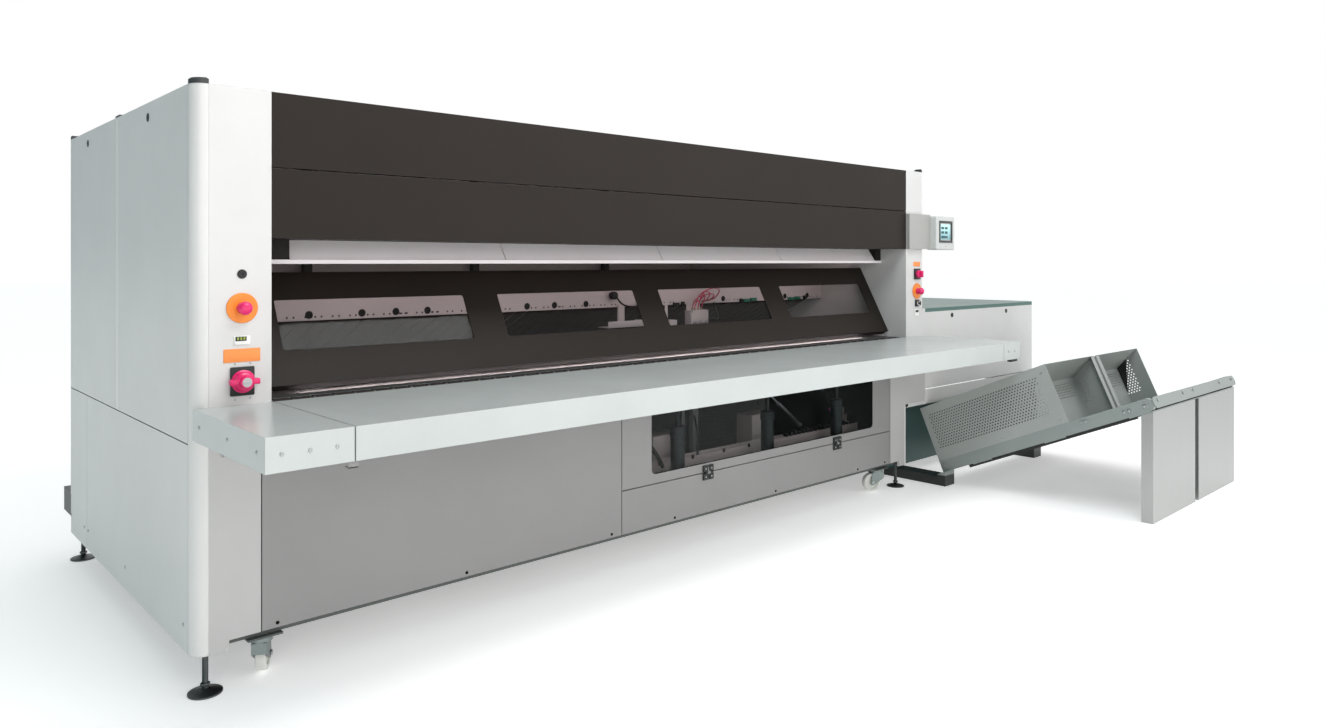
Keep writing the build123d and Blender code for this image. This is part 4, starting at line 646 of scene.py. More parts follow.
# a turned-down hook under the left joint, and a catch under the right end
HOOK_X = 227
hook_from = (HOOK_X - 14, TABLE_FRONT + 12, 735)
table_hook = blocks_at((*hook_from, HOOK_X + 14, TABLE_FRONT + 16, 756, 0.8),
                       (*hook_from, HOOK_X + 14, TABLE_FRONT + 34, 739, 0.8))
# the hook takes the lower covers' painted shade
finished(table_hook, "table_hook", under_table_shade_coat)
table_catch = blocks_at((3826, TABLE_FRONT + 3, 742, 3896, TABLE_FRONT + 26, 756, 2))
finished(table_catch, "table_catch", black_plastic)

# ---- Emergency stops: a domed red mushroom head on a collar, on a round orange plate. All are moulded,
# with a glossy head and a satin plate.
orange_plate = moulded("moulded orange plastic", "#F08A2E", 0.4)
stop_red = moulded("moulded red plastic, glossy", "#E2286E", 0.2)
DISC_OUTLINE = ((11.5, 5), (43, 5), (45, 3.6), (45, 0), (11.5, 0), (11.5, 5))
COLLAR_OUTLINE = ((11.2, 5), (17, 5), (17, 17), (15.5, 22), (11.2, 22), (11.2, 5))
HEAD_OUTLINE = ((0, 17), (6, 16.6), (11, 15.2), (15, 12.6), (18.4, 9), (20, 5), (20, 1.5), (18.5, 0), (11, 0),
                (11, -19.5), (0, -19.5))
discs = bmesh.new()
collars = bmesh.new()
for side in ("left", "right"):
    head_low, head_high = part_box("stop_button_" + side)
    head_x = (head_low.x + head_high.x) / 2
    head_z = (head_low.z + head_high.z) / 2
    face = facing((head_x, FRONT, head_z), (0, -1, 0))
    add_turned(discs, DISC_OUTLINE, face, steps=48)
    add_turned(collars, COLLAR_OUTLINE, face, steps=32)
    head = bmesh.new()
    add_turned(head, HEAD_OUTLINE, facing((head_x, head_low.y + 0.017, head_z), (0, -1, 0)), steps=40)
    finished(head, "stop_head_" + side, stop_red, body=side + "_stop",
             instead_of=("stop_button_" + side,))
finished(collars, "stop_collars", stop_red)
finished(discs, "stop_plates", orange_plate, instead_of=("control_plates",))

# ---- Labels and switches: blank self-adhesive labels, a counter with a dark window, and moulded switch
# plates, the isolator's screwed on at four corners. The film lies dull, and the window is polished.
label_orange = moulded("printed orange label film", "#F2924A", 0.5, 3, 0.01)
ORANGE_LABELS = ((136, 992, 105, 40), (3844, 1258, 70, 26))    # middle along and up, width, height
labels = blocks_at(*((x - width / 2, -1.5, z - height / 2, x + width / 2, 0, z + height / 2, 0.5)
                     for x, z, width, height in ORANGE_LABELS))
finished(labels, "orange_labels", label_orange)
label_white = moulded("white printed film", "#EDEDEB", 0.45, 3, 0.01)
plain = blocks_at((113, -4, 1024, 159, 0, 1050, 1), (3824, -3, 960, 3864, 0, 998, 0.8))
finished(plain, "white_plates", label_white)
dark_window = moulded("smoked acrylic", "#151917", 0.15)
windows = blocks_at((116, -4.8, 1035, 148, -3.5, 1048, 0.4), (3828, -3.6, 981, 3860, -2.5, 994, 0.4))
finished(windows, "counter_windows", dark_window)
# the digits glow faintly
display, tree, shader = new_material("green counter digits, lit")
shader.inputs["Base Color"].default_value = linear("#6B7A2C")
shader.inputs["Emission Color"].default_value = linear("#A9B84A")
shader.inputs["Emission Strength"].default_value = 0.5
bars = blocks_at(*((x, -5.1, 1038, x + 5, -4.7, 1046, 0.2) for x in (121, 130, 139)))
finished(bars, "counter_bars", display)

PLATE_DEPTH = 0.008
SWITCH_FACE = FRONT - PLATE_DEPTH - 0.0003         # handles turn just clear of their plates
SWITCH_PLATES = (("isolator_knob", 69, 86), ("selector_switch", 62, 62), ("key_switch", 40, 40))
ISOLATOR_SCREWS = ((116, 967), (160, 967), (116, 861), (160, 863))
plates = bmesh.new()
for name, width, height in SWITCH_PLATES:
    low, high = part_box(name)
    x, z = (low.x + high.x) / 2, (low.z + high.z) / 2
    half = Vector((width / 2000, 0, height / 2000))
    add_block(plates, Vector((x, FRONT - PLATE_DEPTH, z)) - half, Vector((x, FRONT, z)) + half, 3)
finished(plates, "switch_plates", black_plastic)
plate_screws = bmesh.new()
add_screws(plate_screws, [at(x, 0, z) for x, z in ISOLATOR_SCREWS], (0, -1, 0), 0.5)
finished(plate_screws, "switch_screws", zinc)

# ---- Isolator: a turned red handle with three lobes on a black plate, and a pale round grip on its end.
# It turns a quarter turn.
low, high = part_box("isolator_knob")
face = facing(((low.x + high.x) / 2, SWITCH_FACE, (low.z + high.z) / 2), (0, -1, 0))
handle = bmesh.new()
add_turned(handle, ((0, 24), (22, 24), (27, 20), (30, 8), (34, 5), (34, 0), (0, 0)), face, steps=32)
add_block(handle, (-0.043, -0.009, 0.004), (0.043, 0.009, 0.026), 4, face)
add_turned(handle, ((0, 39), (16, 39), (18, 37), (18, 22), (0, 22)), face, steps=32)
finished(handle, "isolator_handle", stop_red, body="isolator", instead_of=("isolator_knob",))
grip = bmesh.new()
grip_grey = moulded("moulded grey plastic", "#B9BABB", 0.4)
add_turned(grip, ((0, 39.5), (13, 39.5), (14, 38.8), (14, 37), (0, 37)), face, steps=32)
add_block(grip, (-0.012, -0.0015, 0.039), (0.012, 0.0015, 0.0412), 0.6, face)
finished(grip, "isolator_grip", grip_grey, body="isolator")

# ---- Selector and key switch: a red rotary handle with a raised bar, and a bright key barrel with the
# key's black bow in it.
low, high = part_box("selector_switch")
face = facing(((low.x + high.x) / 2, SWITCH_FACE, (low.z + high.z) / 2), (0, -1, 0))
rotary = bmesh.new()
add_turned(rotary, ((0, 17), (19, 17), (22, 14), (22, 0), (0, 0)), face, steps=32)
add_block(rotary, (-0.007, -0.019, 0.015), (0.007, 0.019, 0.034), 3, face)
finished(rotary, "selector_handle", stop_red, body="selector",
         instead_of=("selector_switch",))
low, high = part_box("key_switch")
face = facing(((low.x + high.x) / 2, SWITCH_FACE, (low.z + high.z) / 2), (0, -1, 0))
barrel = bmesh.new()
# chrome mirrors what stands round it
chrome = metal("chromed brass", "#D5D8DA", 0.12)
add_turned(barrel, ((0, 6), (8, 6), (9, 10), (12, 10), (13, 8), (13, 0), (0, 0)), face, steps=32)
finished(barrel, "key_barrel", chrome, body="key", instead_of=("key_switch",))
key = bmesh.new()
add_block(key, (-0.0015, -0.004, 0.006), (0.0015, 0.004, 0.014), 0.4, face)
add_block(key, (-0.0025, -0.011, 0.012), (0.0025, 0.011, 0.020), 2, face)
finished(key, "key_bow", black_plastic, body="key")

# ---- Operator panel: a moulded housing on a folded arm, with a dark bezel round a lit screen and a small
# lamp under it.
hmi_plastic = moulded("moulded ABS, light grey", "#C9CCCA", 0.4)
coat(hmi_plastic, "hmi_housing")
low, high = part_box("hmi_housing")
middle = (low + high) / 2
BEZEL_BARS = ((0, 57, 146, 13), (0, -57, 146, 13), (-67, 0, 12, 101), (67, 0, 12, 101))
TILES = ((-32, 22, 30, 14), (8, 22, 30, 14), (-32, -4, 30, 14), (8, -4, 30, 14), (-12, -30, 70, 12))
SCREEN = (110, 88)
SCREEN_RISE = 8
FADE_INSETS = (0.04, 0.02)       # metres from the housing's foot and top, where the screen's glow ends
bezel = bmesh.new()
centre = Vector((middle.x, low.y, middle.z + SCREEN_RISE / 1000))
for dx, dz, width, height in BEZEL_BARS:
    half = Vector((width / 2000, 0.0035, height / 2000))
    offset = Vector((dx / 1000, 0, dz / 1000))
    add_block(bezel, centre + offset - half, centre + offset + half + Vector((0, 0.001, 0)), 1)
finished(bezel, "screen_bezel", cap_plastic)
# the screen glows pale blue at its top and teal at its foot, behind smooth glass
glass, tree, shader = new_material("backlit display glass")
place = add_node(tree, "TexCoord").outputs["Object"]
axes = add_node(tree, "SeparateXYZ", {"Vector": place})
fade = add_node(tree, "MapRange", {"Value": axes.outputs["Z"], "From Min": low.z + FADE_INSETS[0],
                                   "From Max": high.z - FADE_INSETS[1]})
glow = add_node(tree, "ValToRGB", {"Fac": fade.outputs["Result"]})
glow.color_ramp.elements[0].color = linear("#2F6E78")
glow.color_ramp.elements[1].color = linear("#BFE6E8")
tree.links.new(glow.outputs["Color"], shader.inputs["Base Color"])
tree.links.new(glow.outputs["Color"], shader.inputs["Emission Color"])
shader.inputs["Emission Strength"].default_value = 0.6
shader.inputs["Roughness"].default_value = 0.08
pane = bmesh.new()
half = Vector((SCREEN[0] / 2000, 0.0005, SCREEN[1] / 2000))
pane_centre = centre + Vector((0, 0.0015, 0))
add_block(pane, pane_centre - half, pane_centre + half, 0.3)
finished(pane, "screen_glass", glass)
blocks = bmesh.new()
for dx, dz, width, height in TILES:
    half = Vector((width / 2000, 0.0004, height / 2000))
    place = pane_centre + Vector((dx / 1000, -0.0006, dz / 1000))
    add_block(blocks, place - half, place + half, 0.2)
screen_ink = moulded("dark screen tiles", "#2A4E57", 0.2)
finished(blocks, "screen_tiles", screen_ink)
lamp = bmesh.new()
add_turned(lamp, ((0, 1.6), (2, 1.2), (2.6, 0), (0, 0)),
           facing((middle.x, low.y, low.z + 0.022), (0, -1, 0)), steps=12)
finished(lamp, "panel_lamp", stop_red)

# ---- Door hinges: square four-lobed hinges moulded in black plastic, with a light screw in each lobe.
# The upper lobes ride on the door, and the lower ones stay on the machine.
coat(black_plastic, "door_hinges")
hinge_screws = bmesh.new()
HINGE_MIDDLES = (2125, 3083)
HINGE_AXIS = 331
LOBE = 15                        # half a lobe's width
LOBE_OFFSET = 18
LOBE_FACE = -6
for side, dz in (("door", LOBE_OFFSET), ("machine", -LOBE_OFFSET)):
    lobes = bmesh.new()
    for x in HINGE_MIDDLES:
        for dx in (-LOBE_OFFSET, LOBE_OFFSET):
            lobe_x, lobe_z = x + dx, HINGE_AXIS + dz
            add_block(lobes, at(lobe_x - LOBE, LOBE_FACE, lobe_z - LOBE),
                      at(lobe_x + LOBE, LOWER_FACE - 0.3, lobe_z + LOBE), 3)
            add_screws(hinge_screws, [at(lobe_x, LOBE_FACE, lobe_z)], (0, -1, 0), 0.7)
    finished(lobes, "hinge_lobes_" + side, black_plastic, body=side)
finished(hinge_screws, "hinge_screws", zinc)

# ---- Levelling feet: a turned steel stem with a coarse thread and a lock nut, on a round pressed pad.
# The thread is drawn as rings, and coarser than the real one so that it shows. Blackened steel is dull,
# with lighter worn patches.
foot_steel = metal("blackened steel", "#5E6262", 0.4)
PAD_OUTLINE = ((0, 20), (9, 20), (11, 17), (20, 13), (34, 9), (44, 7), (48, 5), (48, 0), (0, 0))
FEET = ((46, 42, 132), (46, 1708, 132), (3690, 42, 132), (3690, 1708, 132), (5249, 208, 60), (5249, 1690, 60))
STEM = 9
THREAD = 4
THREAD_DEPTH = 0.9
THREAD_FOOT = 18
feet = bmesh.new()
for x, y, seat in FEET:
    place = facing(at(x, y, 0), (0, 0, 1))
    add_turned(feet, PAD_OUTLINE, place, steps=36)
    threads = [(STEM - (THREAD_DEPTH if k % 2 else 0), THREAD_FOOT + k * THREAD / 2)
               for k in range(int((seat - THREAD_FOOT - THREAD) / THREAD) * 2)]
    add_turned(feet, [(0, THREAD_FOOT)] + threads + [(STEM, seat), (0, seat)], place, steps=16)
    add_prism(feet, 6, 17, seat - 12, seat - 0.3, place, 0.8)
    add_prism(feet, 6, 14, 22, 31, place, 0.8, turn=0.4)
finished(feet, "turned_feet", foot_steel, instead_of=("levelling_feet",))

# ---- Casters: zinc plated pressed forks and white cast polyamide wheels, dished between hub and rim.
# Each wheel turns on a bolt whose nuts stand outside the fork. The plating is dull and spangled, and the
# polyamide a little waxy.
fork_zinc = metal("zinc plate, dull", "#8E9896", 0.42, pit_mm=2.5, pit_depth_mm=0.05)
polyamide = moulded("cast polyamide, white", "#DADBD6", 0.35, 2, 0.03)
CASTERS = ("front_left", "rear_left", "front_right", "rear_right")
HALF_TREAD = ((6.1, 16), (13, 16), (13.5, 10.5), (34, 9.5), (35, 15), (45, 16), (48.5, 14), (50, 9))
TREAD = [*HALF_TREAD, *((radius, -side) for radius, side in reversed(HALF_TREAD)), HALF_TREAD[0]]
joints = {joint["name"]: joint for joint in frame["joints"]}
for corner in CASTERS:
    coat(fork_zinc, "caster_fork_" + corner)
    joint = joints["roll_" + corner]
    axle = facing(Vector(joint["pos_m"]), joint["axis"])
    wheel = bmesh.new()
    add_turned(wheel, TREAD, axle, steps=48)
    finished(wheel, "wheel_" + corner + "_moulding", polyamide, body="wheel_" + corner,
             instead_of=("caster_wheel_" + corner,))
    bolts = bmesh.new()
    add_prism(bolts, 6, 9, 22.2, 27, axle, 0.8)
    add_prism(bolts, 6, 9, -27, -22.2, axle, 0.8)
    finished(bolts, "axle_nuts_" + corner, zinc, body="fork_" + corner)

# ---- Behind the windowed door: a folded cable duct on feet, junction boxes and upright struts. They stand
# on a steel tray that closes the machine's floor, in an enclosure of the same sheet, both dark as painted
# shade.
DUCT = (1700, 3480)              # from and to, along the front rail
DUCT_FEET = (1790, 2290, 2790, 3290)
duct_coat = sprayed("grey white enamel", "#BDB4B3", 0.45, 4, 0.06)
duct_rows = [(DUCT[0], 150, 330, DUCT[1], 210, 333, 0.8), (DUCT[0], 150, 333, DUCT[1], 152, 372, 0.8),
             (DUCT[0], 208, 333, DUCT[1], 210, 372, 0.8)]
for x in DUCT_FEET:
    duct_rows += [(x, 165, 212, x + 40, 195, 331, 1.5), (x - 10, 26, 210, x + 50, 195, 214, 1)]
finished(blocks_at(*duct_rows), "cable_duct", duct_coat)
boxes = blocks_at((2794, 330, 300, 2972, 440, 466, 3), (2064, 300, 300, 2240, 420, 454, 3),
                  *((x, 345, 214, x + 24, 375, 302, 1.5) for x in (2100, 2190, 2820, 2930)),
                  (3433, 250, 322, 3519, 252, 406, 0.6), (3433, 250, 320, 3519, 290, 322, 0.6),
                  (3460, 255, 214, 3490, 280, 321, 1.5), (3553, 300, 380, 3558, 352, 436, 1))
finished(boxes, "junction_boxes", duct_coat)
# the tray's enamel is dark and dull, painted shade, so that it recedes behind the door's pane
dark_enamel_and_shade = sprayed("dark grey enamel and painted shade", "#2B2D2C", 0.55, 4, 0.1, shine=0.3)
BAY_LEFT, BAY_RIGHT, BAY_BACK = 1629, 3559, 900    # inside the enclosure
TRAY_TOP, BAY_TOP = 215, 742
# the tray and the enclosure's walls are dark sheets painted as the shade inside the door
tray = blocks_at((60, 30, TRAY_TOP - 2, 3700, 1720, TRAY_TOP, 0.6),
                 *((x, 40, TRAY_TOP, x + 3, BAY_BACK, BAY_TOP, 0.8) for x in (BAY_RIGHT, BAY_LEFT - 3)),
                 (BAY_LEFT, BAY_BACK - 2, TRAY_TOP, BAY_RIGHT, BAY_BACK, BAY_TOP, 0.8))
finished(tray, "bottom_shade_tray", dark_enamel_and_shade)
struts = blocks_at((2190, 235, TRAY_TOP, 2212, 257, 600, 2), (2253, 225, TRAY_TOP, 2292, 250, 700, 2),
                   (BAY_LEFT, 600, 560, BAY_RIGHT, 640, 600, 2), (3190, 600, TRAY_TOP, 3230, 640, 560, 2))
finished(struts, "inner_struts", frame_enamel)
CLIP_PITCH = 34
CLIP_GAP = 12                    # between the two groups of eight clips
clip_rows = []
for k in range(16):
    x = 2860 + CLIP_PITCH * k + (CLIP_GAP if k > 7 else 0)
    clip_rows.append((x, 150, 371, x + 16, 176, 384 + 6 * (k % 3), 1.5))
clip_rows += [(x, 146, 360, x + 14, 152, 378, 1) for x in (1960, 2080, 2170, 2380, 2560)]
finished(blocks_at(*clip_rows), "duct_clips", black_plastic)

# ---- Air cylinders and damper: black anodised cylinders with turned rods, bolted upright behind the front
# rail, and a damper of finely lined extruded aluminium between two cross pins. Black anodising is dull,
# with a faint metal sheen.
air_aluminium = metal("extruded aluminium", "#A4A9AB", 0.38, brush=(166.7, 166.7, 3.333))
anodised = metal("black anodised aluminium", "#33393A", 0.45)
cylinders = bmesh.new()
CYLINDER_PLACES = (2010, 2620, 3180)
CYLINDER_DEPTH = 76              # of their axes, behind the front face
CYLINDER_FOOT = 272              # on blocks that stand on the frame
BLOCK_FOOT = 212
CYLINDER_TUBE = ((0, 0), (34, 0), (36, 3), (36, 40), (32, 42), (32, 226), (36, 228), (36, 266), (34, 270),
                 (0, 270))
ROD = ((0, 268), (10, 268), (10, 350), (16, 350), (16, 370), (0, 370))
for x in CYLINDER_PLACES:
    place = facing(at(x, CYLINDER_DEPTH, CYLINDER_FOOT), (0, 0, 1))
    add_turned(cylinders, CYLINDER_TUBE, place, steps=32)
    add_turned(cylinders, ROD, place, steps=20)
    add_block(cylinders, at(x - 40, CYLINDER_DEPTH - 30, BLOCK_FOOT),
              at(x + 40, CYLINDER_DEPTH + 30, CYLINDER_FOOT), 3)
finished(cylinders, "air_cylinders", anodised, instead_of=("air_equipment",))
damper = bmesh.new()
damper_from, damper_to = at(2760, 250, 640), at(3063, 230, 398)
reach = (damper_to - damper_from).length * 1000
shoulder = reach * 0.45           # where the rod enters the damper's body
damper_outline = ((0, 0), (5, 0), (5, shoulder), (11, shoulder), (11, reach - 12), (6, reach), (0, reach))
add_turned(damper, damper_outline, facing(damper_from, damper_to - damper_from))
for end in (damper_from, damper_to):
    add_prism(damper, 16, 12, -10, 10, facing(end, (0, 1, 0)), 1)
finished(damper, "damper", air_aluminium)


# ---- Air hoses: thin polyurethane tube, pushed into brass fittings at both ends, so no hose hangs free.
# They loop over the valve box and run along the duct.
def add_hose(name, points, diameter_mm, material):
    """A short hose held at both ends, along a smooth curve near a few points given as for at()."""
    route = bpy.data.curves.new(name, "CURVE")
    route.dimensions = "3D"
    spline = route.splines.new("NURBS")
    spline.points.add(len(points) - 1)
    for point, place in zip(spline.points, points):
        point.co = (*at(*place), 1)
    spline.use_endpoint_u = True
    spline.order_u = 3
    route.bevel_depth = diameter_mm / 2000
    route.bevel_resolution = 2
    route.use_fill_caps = True
    line = bpy.data.objects.new(name + "_line", route)
    mesh = bpy.data.meshes.new_from_object(line)
    bpy.data.objects.remove(line)
    shape = bmesh.new()
    shape.from_mesh(mesh)
    bmesh.ops.recalc_face_normals(shape, faces=shape.faces)
    bpy.data.meshes.remove(mesh)
    return finished(shape, name, material)


# the tube is smooth and a little waxy, so a thin highlight runs along each loop
pink_tube = moulded("polyurethane tube, red", "#D0526F", 0.3)
black_tube = moulded("polyurethane tube, black", "#141517", 0.35)
magenta_tube = moulded("polyurethane tube, magenta", "#B5429C", 0.3)
VALVE_TOP = 1016
VALVE_HOSES = ((2586, 40, 2730, 1064), (2604, 58, 2690, 1058), (2628, 74, 2762, 1070), (2654, 30, 2640, 1060))
for k, (start_x, lift, end_x, end_z) in enumerate(VALVE_HOSES):
    add_hose(f"valve_hose_{k + 1}", (
        (start_x, 565, VALVE_TOP + 4), (start_x, 562, VALVE_TOP + 24),
        (start_x + 4, 555 - lift / 3, VALVE_TOP + 24 + lift),
        ((start_x + end_x) / 2 + 10, 548 - lift / 3, VALVE_TOP + 46 + lift),
        (end_x + 10, 552 - lift / 4, end_z + 14 + lift / 2), (end_x, 570, end_z), (end_x, 592, end_z)),
        6, pink_tube)
add_hose("beam_cable", ((2061, 570, 1104), (2064, 560, 1098), (2085, 552, 1066), (2130, 552, 1050),
                        (2190, 560, 1048), (2230, 580, 1062), (2236, 598, 1066)), 9, black_tube)
add_hose("valve_cable", ((2690, 575, 985), (2710, 572, 980), (2760, 566, 960), (2800, 572, 966),
                         (2790, 590, 1010), (2784, 598, 1052)), 8, black_tube)
DOOR_HOSES = (                   # diameter, tube, points
    (20, black_tube, ((1800, 300, 700), (1840, 240, 600), (1900, 180, 480), (1950, 150, 420),
                      (1989, 152, 350))),
    (12, black_tube, ((2250, 190, 340), (2252, 190, 400), (2252, 190, 470), (2262, 224, 540))),
    (12, black_tube, ((3060, 230, 400), (3066, 215, 380), (3058, 190, 350), (3055, 180, 334))),
    (8, magenta_tube, ((3262, 160, 376), (3258, 150, 400), (3262, 160, 440), (3268, 190, 470))),
    (16, black_tube, ((2780, 250, 640), (2900, 246, 660), (3120, 240, 640), (3300, 236, 560),
                      (3440, 244, 400))),
)
for k, (diameter, tube, points) in enumerate(DOOR_HOSES):
    add_hose(f"door_hose_{k + 1}", points, diameter, tube)
fittings = bmesh.new()
# nickel plate is bright and slightly warm
brass = metal("nickel plated brass", "#C3BFA9", 0.25)
for start_x, lift, end_x, end_z in VALVE_HOSES:
    add_prism(fittings, 6, 6, 0, 12, facing(at(start_x, 565, VALVE_TOP - 1), (0, 0, 1)), 0.6)
    add_prism(fittings, 6, 6, 0, 12, facing(at(end_x, 600, end_z), (0, -1, 0)), 0.6)
finished(fittings, "hose_fittings", brass)
VALVE_FACE = 545
valve_box = blocks_at(
    (2562, VALVE_FACE, 930, 2690, 598, VALVE_TOP, 4), (2575, 597, 1000, 2677, 600, 1062, 1),
    (2402, VALVE_FACE, 936, 2458, 598, 972, 3), (2420, 597, 960, 2440, 600, 1060, 0.8),
    (1978, 520, 953, 2249, 600, 956, 0.8), (1978, 520, 956, 2249, 522, 984, 0.8),
    (2215, 520, 956, 2217, 600, 984, 0.8), (2100, 590, 956, 2140, 600, 1060, 1))
finished(valve_box, "valve_box", beam_coat)
KNOB_OUTLINE = ((0, 10), (8, 10), (10, 8), (10, 0), (0, 0))
valve_trim = bmesh.new()
for x in (2584, 2626, 2668):
    add_turned(valve_trim, KNOB_OUTLINE, facing(at(x, VALVE_FACE, 950), (0, -1, 0)), steps=20)
add_screws(valve_trim, [at(x, VALVE_FACE, z) for x in (2570, 2682) for z in (938, 1008)], (0, -1, 0), 0.8)
finished(valve_trim, "valve_knobs", zinc)
PLUGS = ((2496, 1046, 40, 24), (2545, 1052, 20, 20), (3000, 1056, 20, 20), (3570, 1058, 24, 22))
CONNECTORS = ((3045, 1054), (3105, 1058), (3440, 1052), (3500, 1056))
beam_plugs = blocks_at(*((x - width / 2, 586, z - height / 2, x + width / 2, 600, z + height / 2, 3)
                         for x, z, width, height in PLUGS))
add_turned(beam_plugs, ((0, 34), (17, 34), (20, 30), (20, 8), (14, 4), (14, 0), (0, 0)),
           facing(at(2061, 600, 1106), (0, -1, 0)))
finished(beam_plugs, "beam_plugs", black_plastic)
green_plastic = moulded("moulded green plastic", "#2C7A64", 0.35)
connectors = blocks_at(*((x - 24, 588, z - 9, x + 24, 600, z + 9, 1.5) for x, z in CONNECTORS))
finished(connectors, "beam_connectors", green_plastic)

# ---- Stack conveyor: its sheets are folded from steel, powder coated in a soft grey green. The outer side
# panels and the walls of the bays are perforated with staggered rows of round holes.
hood_coat = sprayed("grey green powder coat, satin", "#9EA3A0", *SATIN)
rail_coat = sprayed("grey green powder coat, rails", "#8C9491", 0.34, 3, 0.05)
RAIL_FOOT = 0.0605               # the tail channels under this height are painted black
masked(rail_coat, "#1B1E1E", ("Z", -0.01, RAIL_FOOT))
coat(rail_coat, "stacker_rails")
STACK_SLOPE = 23.5
STACK_FOOT = (-112, 63)          # behind the front face and over the floor: the rails' lowest rear corner
STACK_LEFT = 3944
STACK_WIDTH = 1280
STACK_RAIL = 65
BAY_LENGTH = 807
BAY_HEIGHT = 380
BACK_DISTANCE = BAY_LENGTH - 155
BACK_HEIGHT = BAY_HEIGHT - 76
BAY_FLOOR = 68.5
BAY_FLANGE = 40
BAY_GAP = 30
HOLE_PITCH = 17
stack_turn = Matrix.Rotation(math.radians(-STACK_SLOPE), 4, "X")
stack_place = Matrix.Translation(at(STACK_LEFT, STACK_FOOT[0], STACK_FOOT[1])) @ stack_turn


def staggered(u, v):
    """Hole centres in staggered rows between two values of u and of v."""
    row_step = HOLE_PITCH * math.sqrt(3) / 2
    rows = int((v[1] - v[0]) / row_step) + 1
    return [(u[0] + (HOLE_PITCH / 2 if row % 2 else 0) + k * HOLE_PITCH, v[0] + row * row_step)
            for row in range(rows) for k in range(int((u[1] - u[0]) / HOLE_PITCH))]


# upright sheets stand on the slope: u runs up the slope, v square to it
SIDE_PLANE = Matrix(((0, 0, 1, 0), (-1, 0, 0, 0), (0, 1, 0, 0), (0, 0, 0, 1)))


def upright(x):
    """The place of a sheet that stands along the slope, x millimetres from the conveyor's left side."""
    return stack_place @ Matrix.Translation((x / 1000, 0, 0)) @ SIDE_PLANE


side_outline = ((0, STACK_RAIL), (BAY_LENGTH, STACK_RAIL), (BAY_LENGTH, BAY_HEIGHT), (0, BAY_HEIGHT))
side_holes = staggered((40, 745), (135, 334))
side_sheets = bmesh.new()
for x in (0, STACK_WIDTH - SHEET):
    add_sheet(side_sheets, side_outline, upright(x), side_holes)
# dark sheets paint shade into the space behind the holes
SHADE_SHEET_OUTLINE = ((12, 100), (BAY_LENGTH - 170, 100), (BAY_LENGTH - 80, 345), (12, 345))
SHADE_SHEET_INSET = 12
shade_sheets = bmesh.new()
for x in (SHADE_SHEET_INSET, STACK_WIDTH - SHADE_SHEET_INSET - SHEET):
    add_sheet(shade_sheets, SHADE_SHEET_OUTLINE, upright(x))
finished(shade_sheets, "side_shade_sheets", dark_enamel_and_shade)
finished(side_sheets, "perforated_side_panels", hood_coat,
         instead_of=("stacker_side_panels",))

bay_sheets = bmesh.new()
half_gap = BAY_GAP / 2
left_bay = (SHEET, STACK_WIDTH / 2 - half_gap)
right_bay = (STACK_WIDTH / 2 + half_gap, STACK_WIDTH - SHEET)
wall_outline = ((BACK_DISTANCE, BAY_FLOOR), (BAY_LENGTH, BAY_FLOOR), (BAY_LENGTH, BAY_HEIGHT - SHEET),
                (BACK_DISTANCE, BACK_HEIGHT - SHEET))
wall_holes = staggered((BACK_DISTANCE + 14, BACK_DISTANCE + 70), (150, 285))
for x in (left_bay[1] - SHEET, right_bay[0]):
    add_sheet(bay_sheets, wall_outline, upright(x), wall_holes)
SLOPE_PLANE = Matrix(((1, 0, 0, 0), (0, 0, 1, 0), (0, 1, 0, 0), (0, 0, 0, 1)))
back_place = stack_place @ Matrix.Translation((0, -BACK_DISTANCE / 1000, 0)) @ SLOPE_PLANE
flange_place = stack_place @ Matrix.Translation((0, -BAY_LENGTH / 1000, 0)) @ SLOPE_PLANE
roof_run = Vector((0, -(BAY_LENGTH - BACK_DISTANCE), BAY_HEIGHT - BACK_HEIGHT))
roof_start = Vector((0, -BACK_DISTANCE / 1000, (BACK_HEIGHT - SHEET) / 1000))
roof_turn = Matrix.Rotation(math.atan2(roof_run.z, roof_run.y), 4, "X")
roof_place = stack_place @ Matrix.Translation(roof_start) @ roof_turn
roof_place = roof_place @ Matrix.Translation((0, 0, -SHEET / 1000))


def panel(span, low, high):
    """The outline of a plain rectangular sheet."""
    return (span[0], low), (span[1], low), (span[1], high), (span[0], high)


for bay in (left_bay, right_bay):
    back_holes = staggered((bay[1] - 330, bay[1] - 50), (200, 285))
    add_sheet(bay_sheets, panel(bay, BAY_FLOOR, BACK_HEIGHT), back_place, back_holes)
    add_sheet(bay_sheets, panel(bay, 0, roof_run.length), roof_place)
left_flange = (left_bay[1] - BAY_FLANGE, left_bay[1] - SHEET)
right_flange = (right_bay[0] + SHEET, right_bay[0] + BAY_FLANGE)
for flange in (left_flange, right_flange):
    add_sheet(bay_sheets, panel(flange, BAY_FLOOR, BAY_HEIGHT - 2 * SHEET), flange_place)
finished(bay_sheets, "bay_sheets", hood_coat, instead_of=("stacker_bays",))

# ---- Stack conveyor belts: two wide black PVC belts with a fine rib, over the slider plate between the
# rails. Linen dust greys them a little.
RIB_PITCH = 15.784               # from rib to rib, coarser than the real one so that it shows
DUST_SIZE = 33.33                # millimetres across a dusty spot
belt_rubber, tree, shader = new_material("black PVC belt")
place = add_node(tree, "TexCoord").outputs["Object"]
ribs = add_node(tree, "TexWave", {"Vector": place, "Scale": 1000 * WAVE_PERIOD / RIB_PITCH},
                wave_type="BANDS", bands_direction="X")
dust = add_node(tree, "TexNoise", {"Vector": place, "Scale": 1000 / DUST_SIZE, "Detail": 5})
mixed = add_node(tree, "Mix", {"Factor": dust.outputs["Fac"], "A": linear("#191B1B"), "B": linear("#2C2F2E")},
                 data_type="RGBA")
tree.links.new(mixed.outputs["Result"], shader.inputs["Base Color"])
shader.inputs["Roughness"].default_value = 0.55
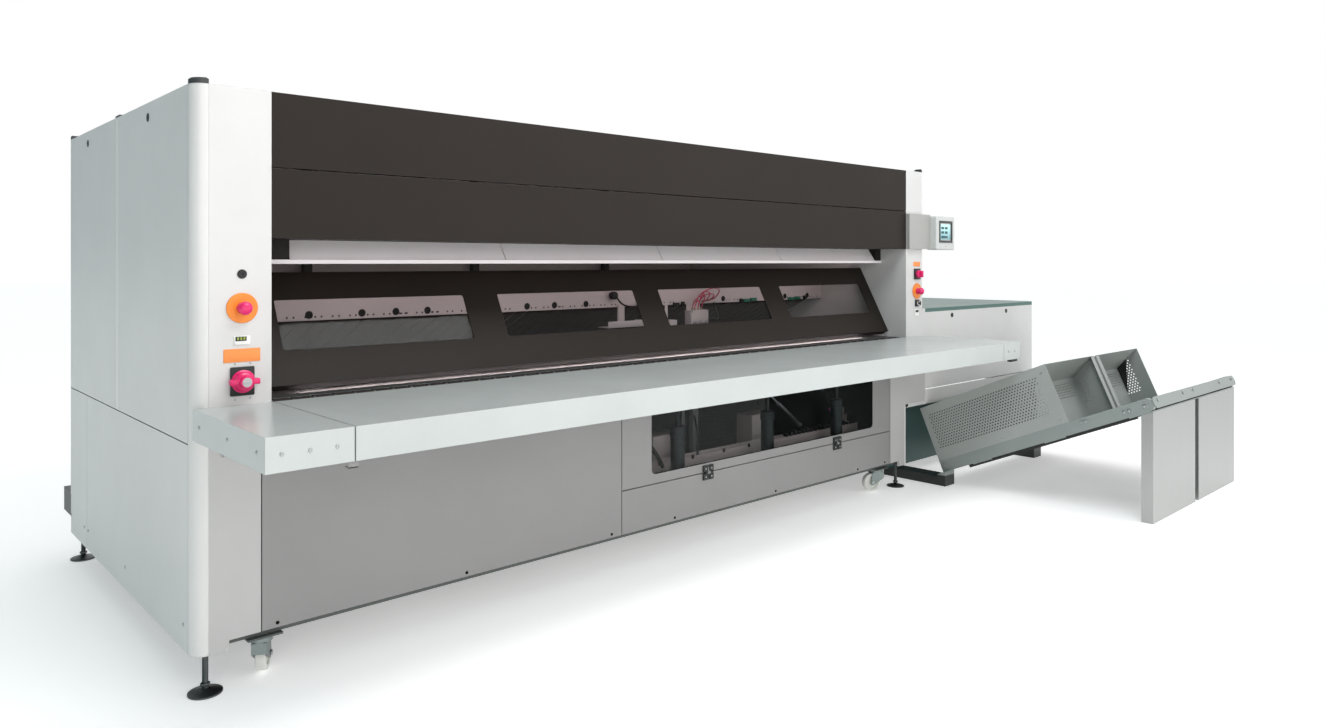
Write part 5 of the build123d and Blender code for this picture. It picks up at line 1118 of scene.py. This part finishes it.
bump = add_node(tree, "Bump", {"Height": ribs.outputs["Fac"], "Distance": 0.0005, "Strength": 0.5})
tree.links.new(bump.outputs["Normal"], shader.inputs["Normal"])
tail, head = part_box("stacker_tail_roller"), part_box("stacker_head_roller")
belt_low, belt_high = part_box("stacker_belts")
belt_middle = (belt_low.x + belt_high.x) / 2
BELT_GAP = 0.030
roller_radius = (tail[1].z - tail[0].z) / 2
belts = bmesh.new()
for span in ((belt_low.x, belt_middle - BELT_GAP / 2), (belt_middle + BELT_GAP / 2, belt_high.x)):
    add_loop(belts, axis_of(head), axis_of(tail), roller_radius + TAPE_CLEARANCE / 1000,
             TAPE_THICKNESS / 1000, *span)
finished(belts, "stack_belts", belt_rubber, instead_of=("stacker_belts",))

# ---- Leg plates, head bar and return guards: stainless boxes under the rails' nose, brushed upwards so
# that reflections spread sideways, a round-ended flat bar across the head roller, and dark strips beside
# the belts' return run. Hexagon bolts hold the bar and the rails.
brushed = metal("brushed stainless steel", "#B2B3B2", 0.34, brush=(0.7143, 0.7143, 200))
coat(brushed, "stacker_leg_plates")
HEAD_BAR = 1237                  # along the slope, in front of the head roller
BAR_HEIGHT = 34                  # of the bar's middle
BAR_END = 28                     # radius of its round ends
BAR_BOLTS = (60, 421, 575, 1010, 1225)
bar_place = stack_place @ Matrix.Translation((0, -HEAD_BAR / 1000, 0)) @ FRONT_PLANE
half_turn = [math.radians(a) for a in range(0, 181, 15)]
half_round = [(BAR_END * math.sin(a), BAR_END * math.cos(a)) for a in half_turn]
bar_outline = [(STACK_WIDTH - BAR_END + along, BAR_HEIGHT - up) for along, up in half_round]
bar_outline += [(BAR_END - along, BAR_HEIGHT + up) for along, up in half_round]
bar = bmesh.new()
add_sheet(bar, bar_outline, bar_place)
finished(bar, "head_bar", rail_coat)
return_guard = bmesh.new()
for x in (4, STACK_WIDTH - 6):
    add_sheet(return_guard, panel((170, 1140), -16, 0), upright(x))
finished(return_guard, "return_guards", dark_enamel_and_shade)


def on_slope(x, up, out):
    """A point of the conveyor in millimetres: from its left side, up the slope and square to the slope."""
    return stack_place @ Vector((x / 1000, -up / 1000, out / 1000))


RAIL_BOLTS = ((870, 45), (892, 45), (1090, 33), (1116, 33), (1192, 33))    # up the slope, square to it
PANEL_SCREWS = ((70, 82), (420, 82), (770, 82), (770, 340))
up_slope = stack_turn @ Vector((0, -1, 0))
rail_bolts = bmesh.new()
for x in BAR_BOLTS:
    add_prism(rail_bolts, 6, 8, 0, 5, facing(on_slope(x, HEAD_BAR + SHEET, 42), up_slope), 0.8)
for x, direction in ((0, (-1, 0, 0)), (STACK_WIDTH, (1, 0, 0))):
    for up, out in RAIL_BOLTS:
        add_prism(rail_bolts, 6, 8, 0, 5.5, facing(on_slope(x, up, out), direction), 0.8)
    add_screws(rail_bolts, [on_slope(x, up, out) for up, out in PANEL_SCREWS], direction)
finished(rail_bolts, "conveyor_bolts", zinc)
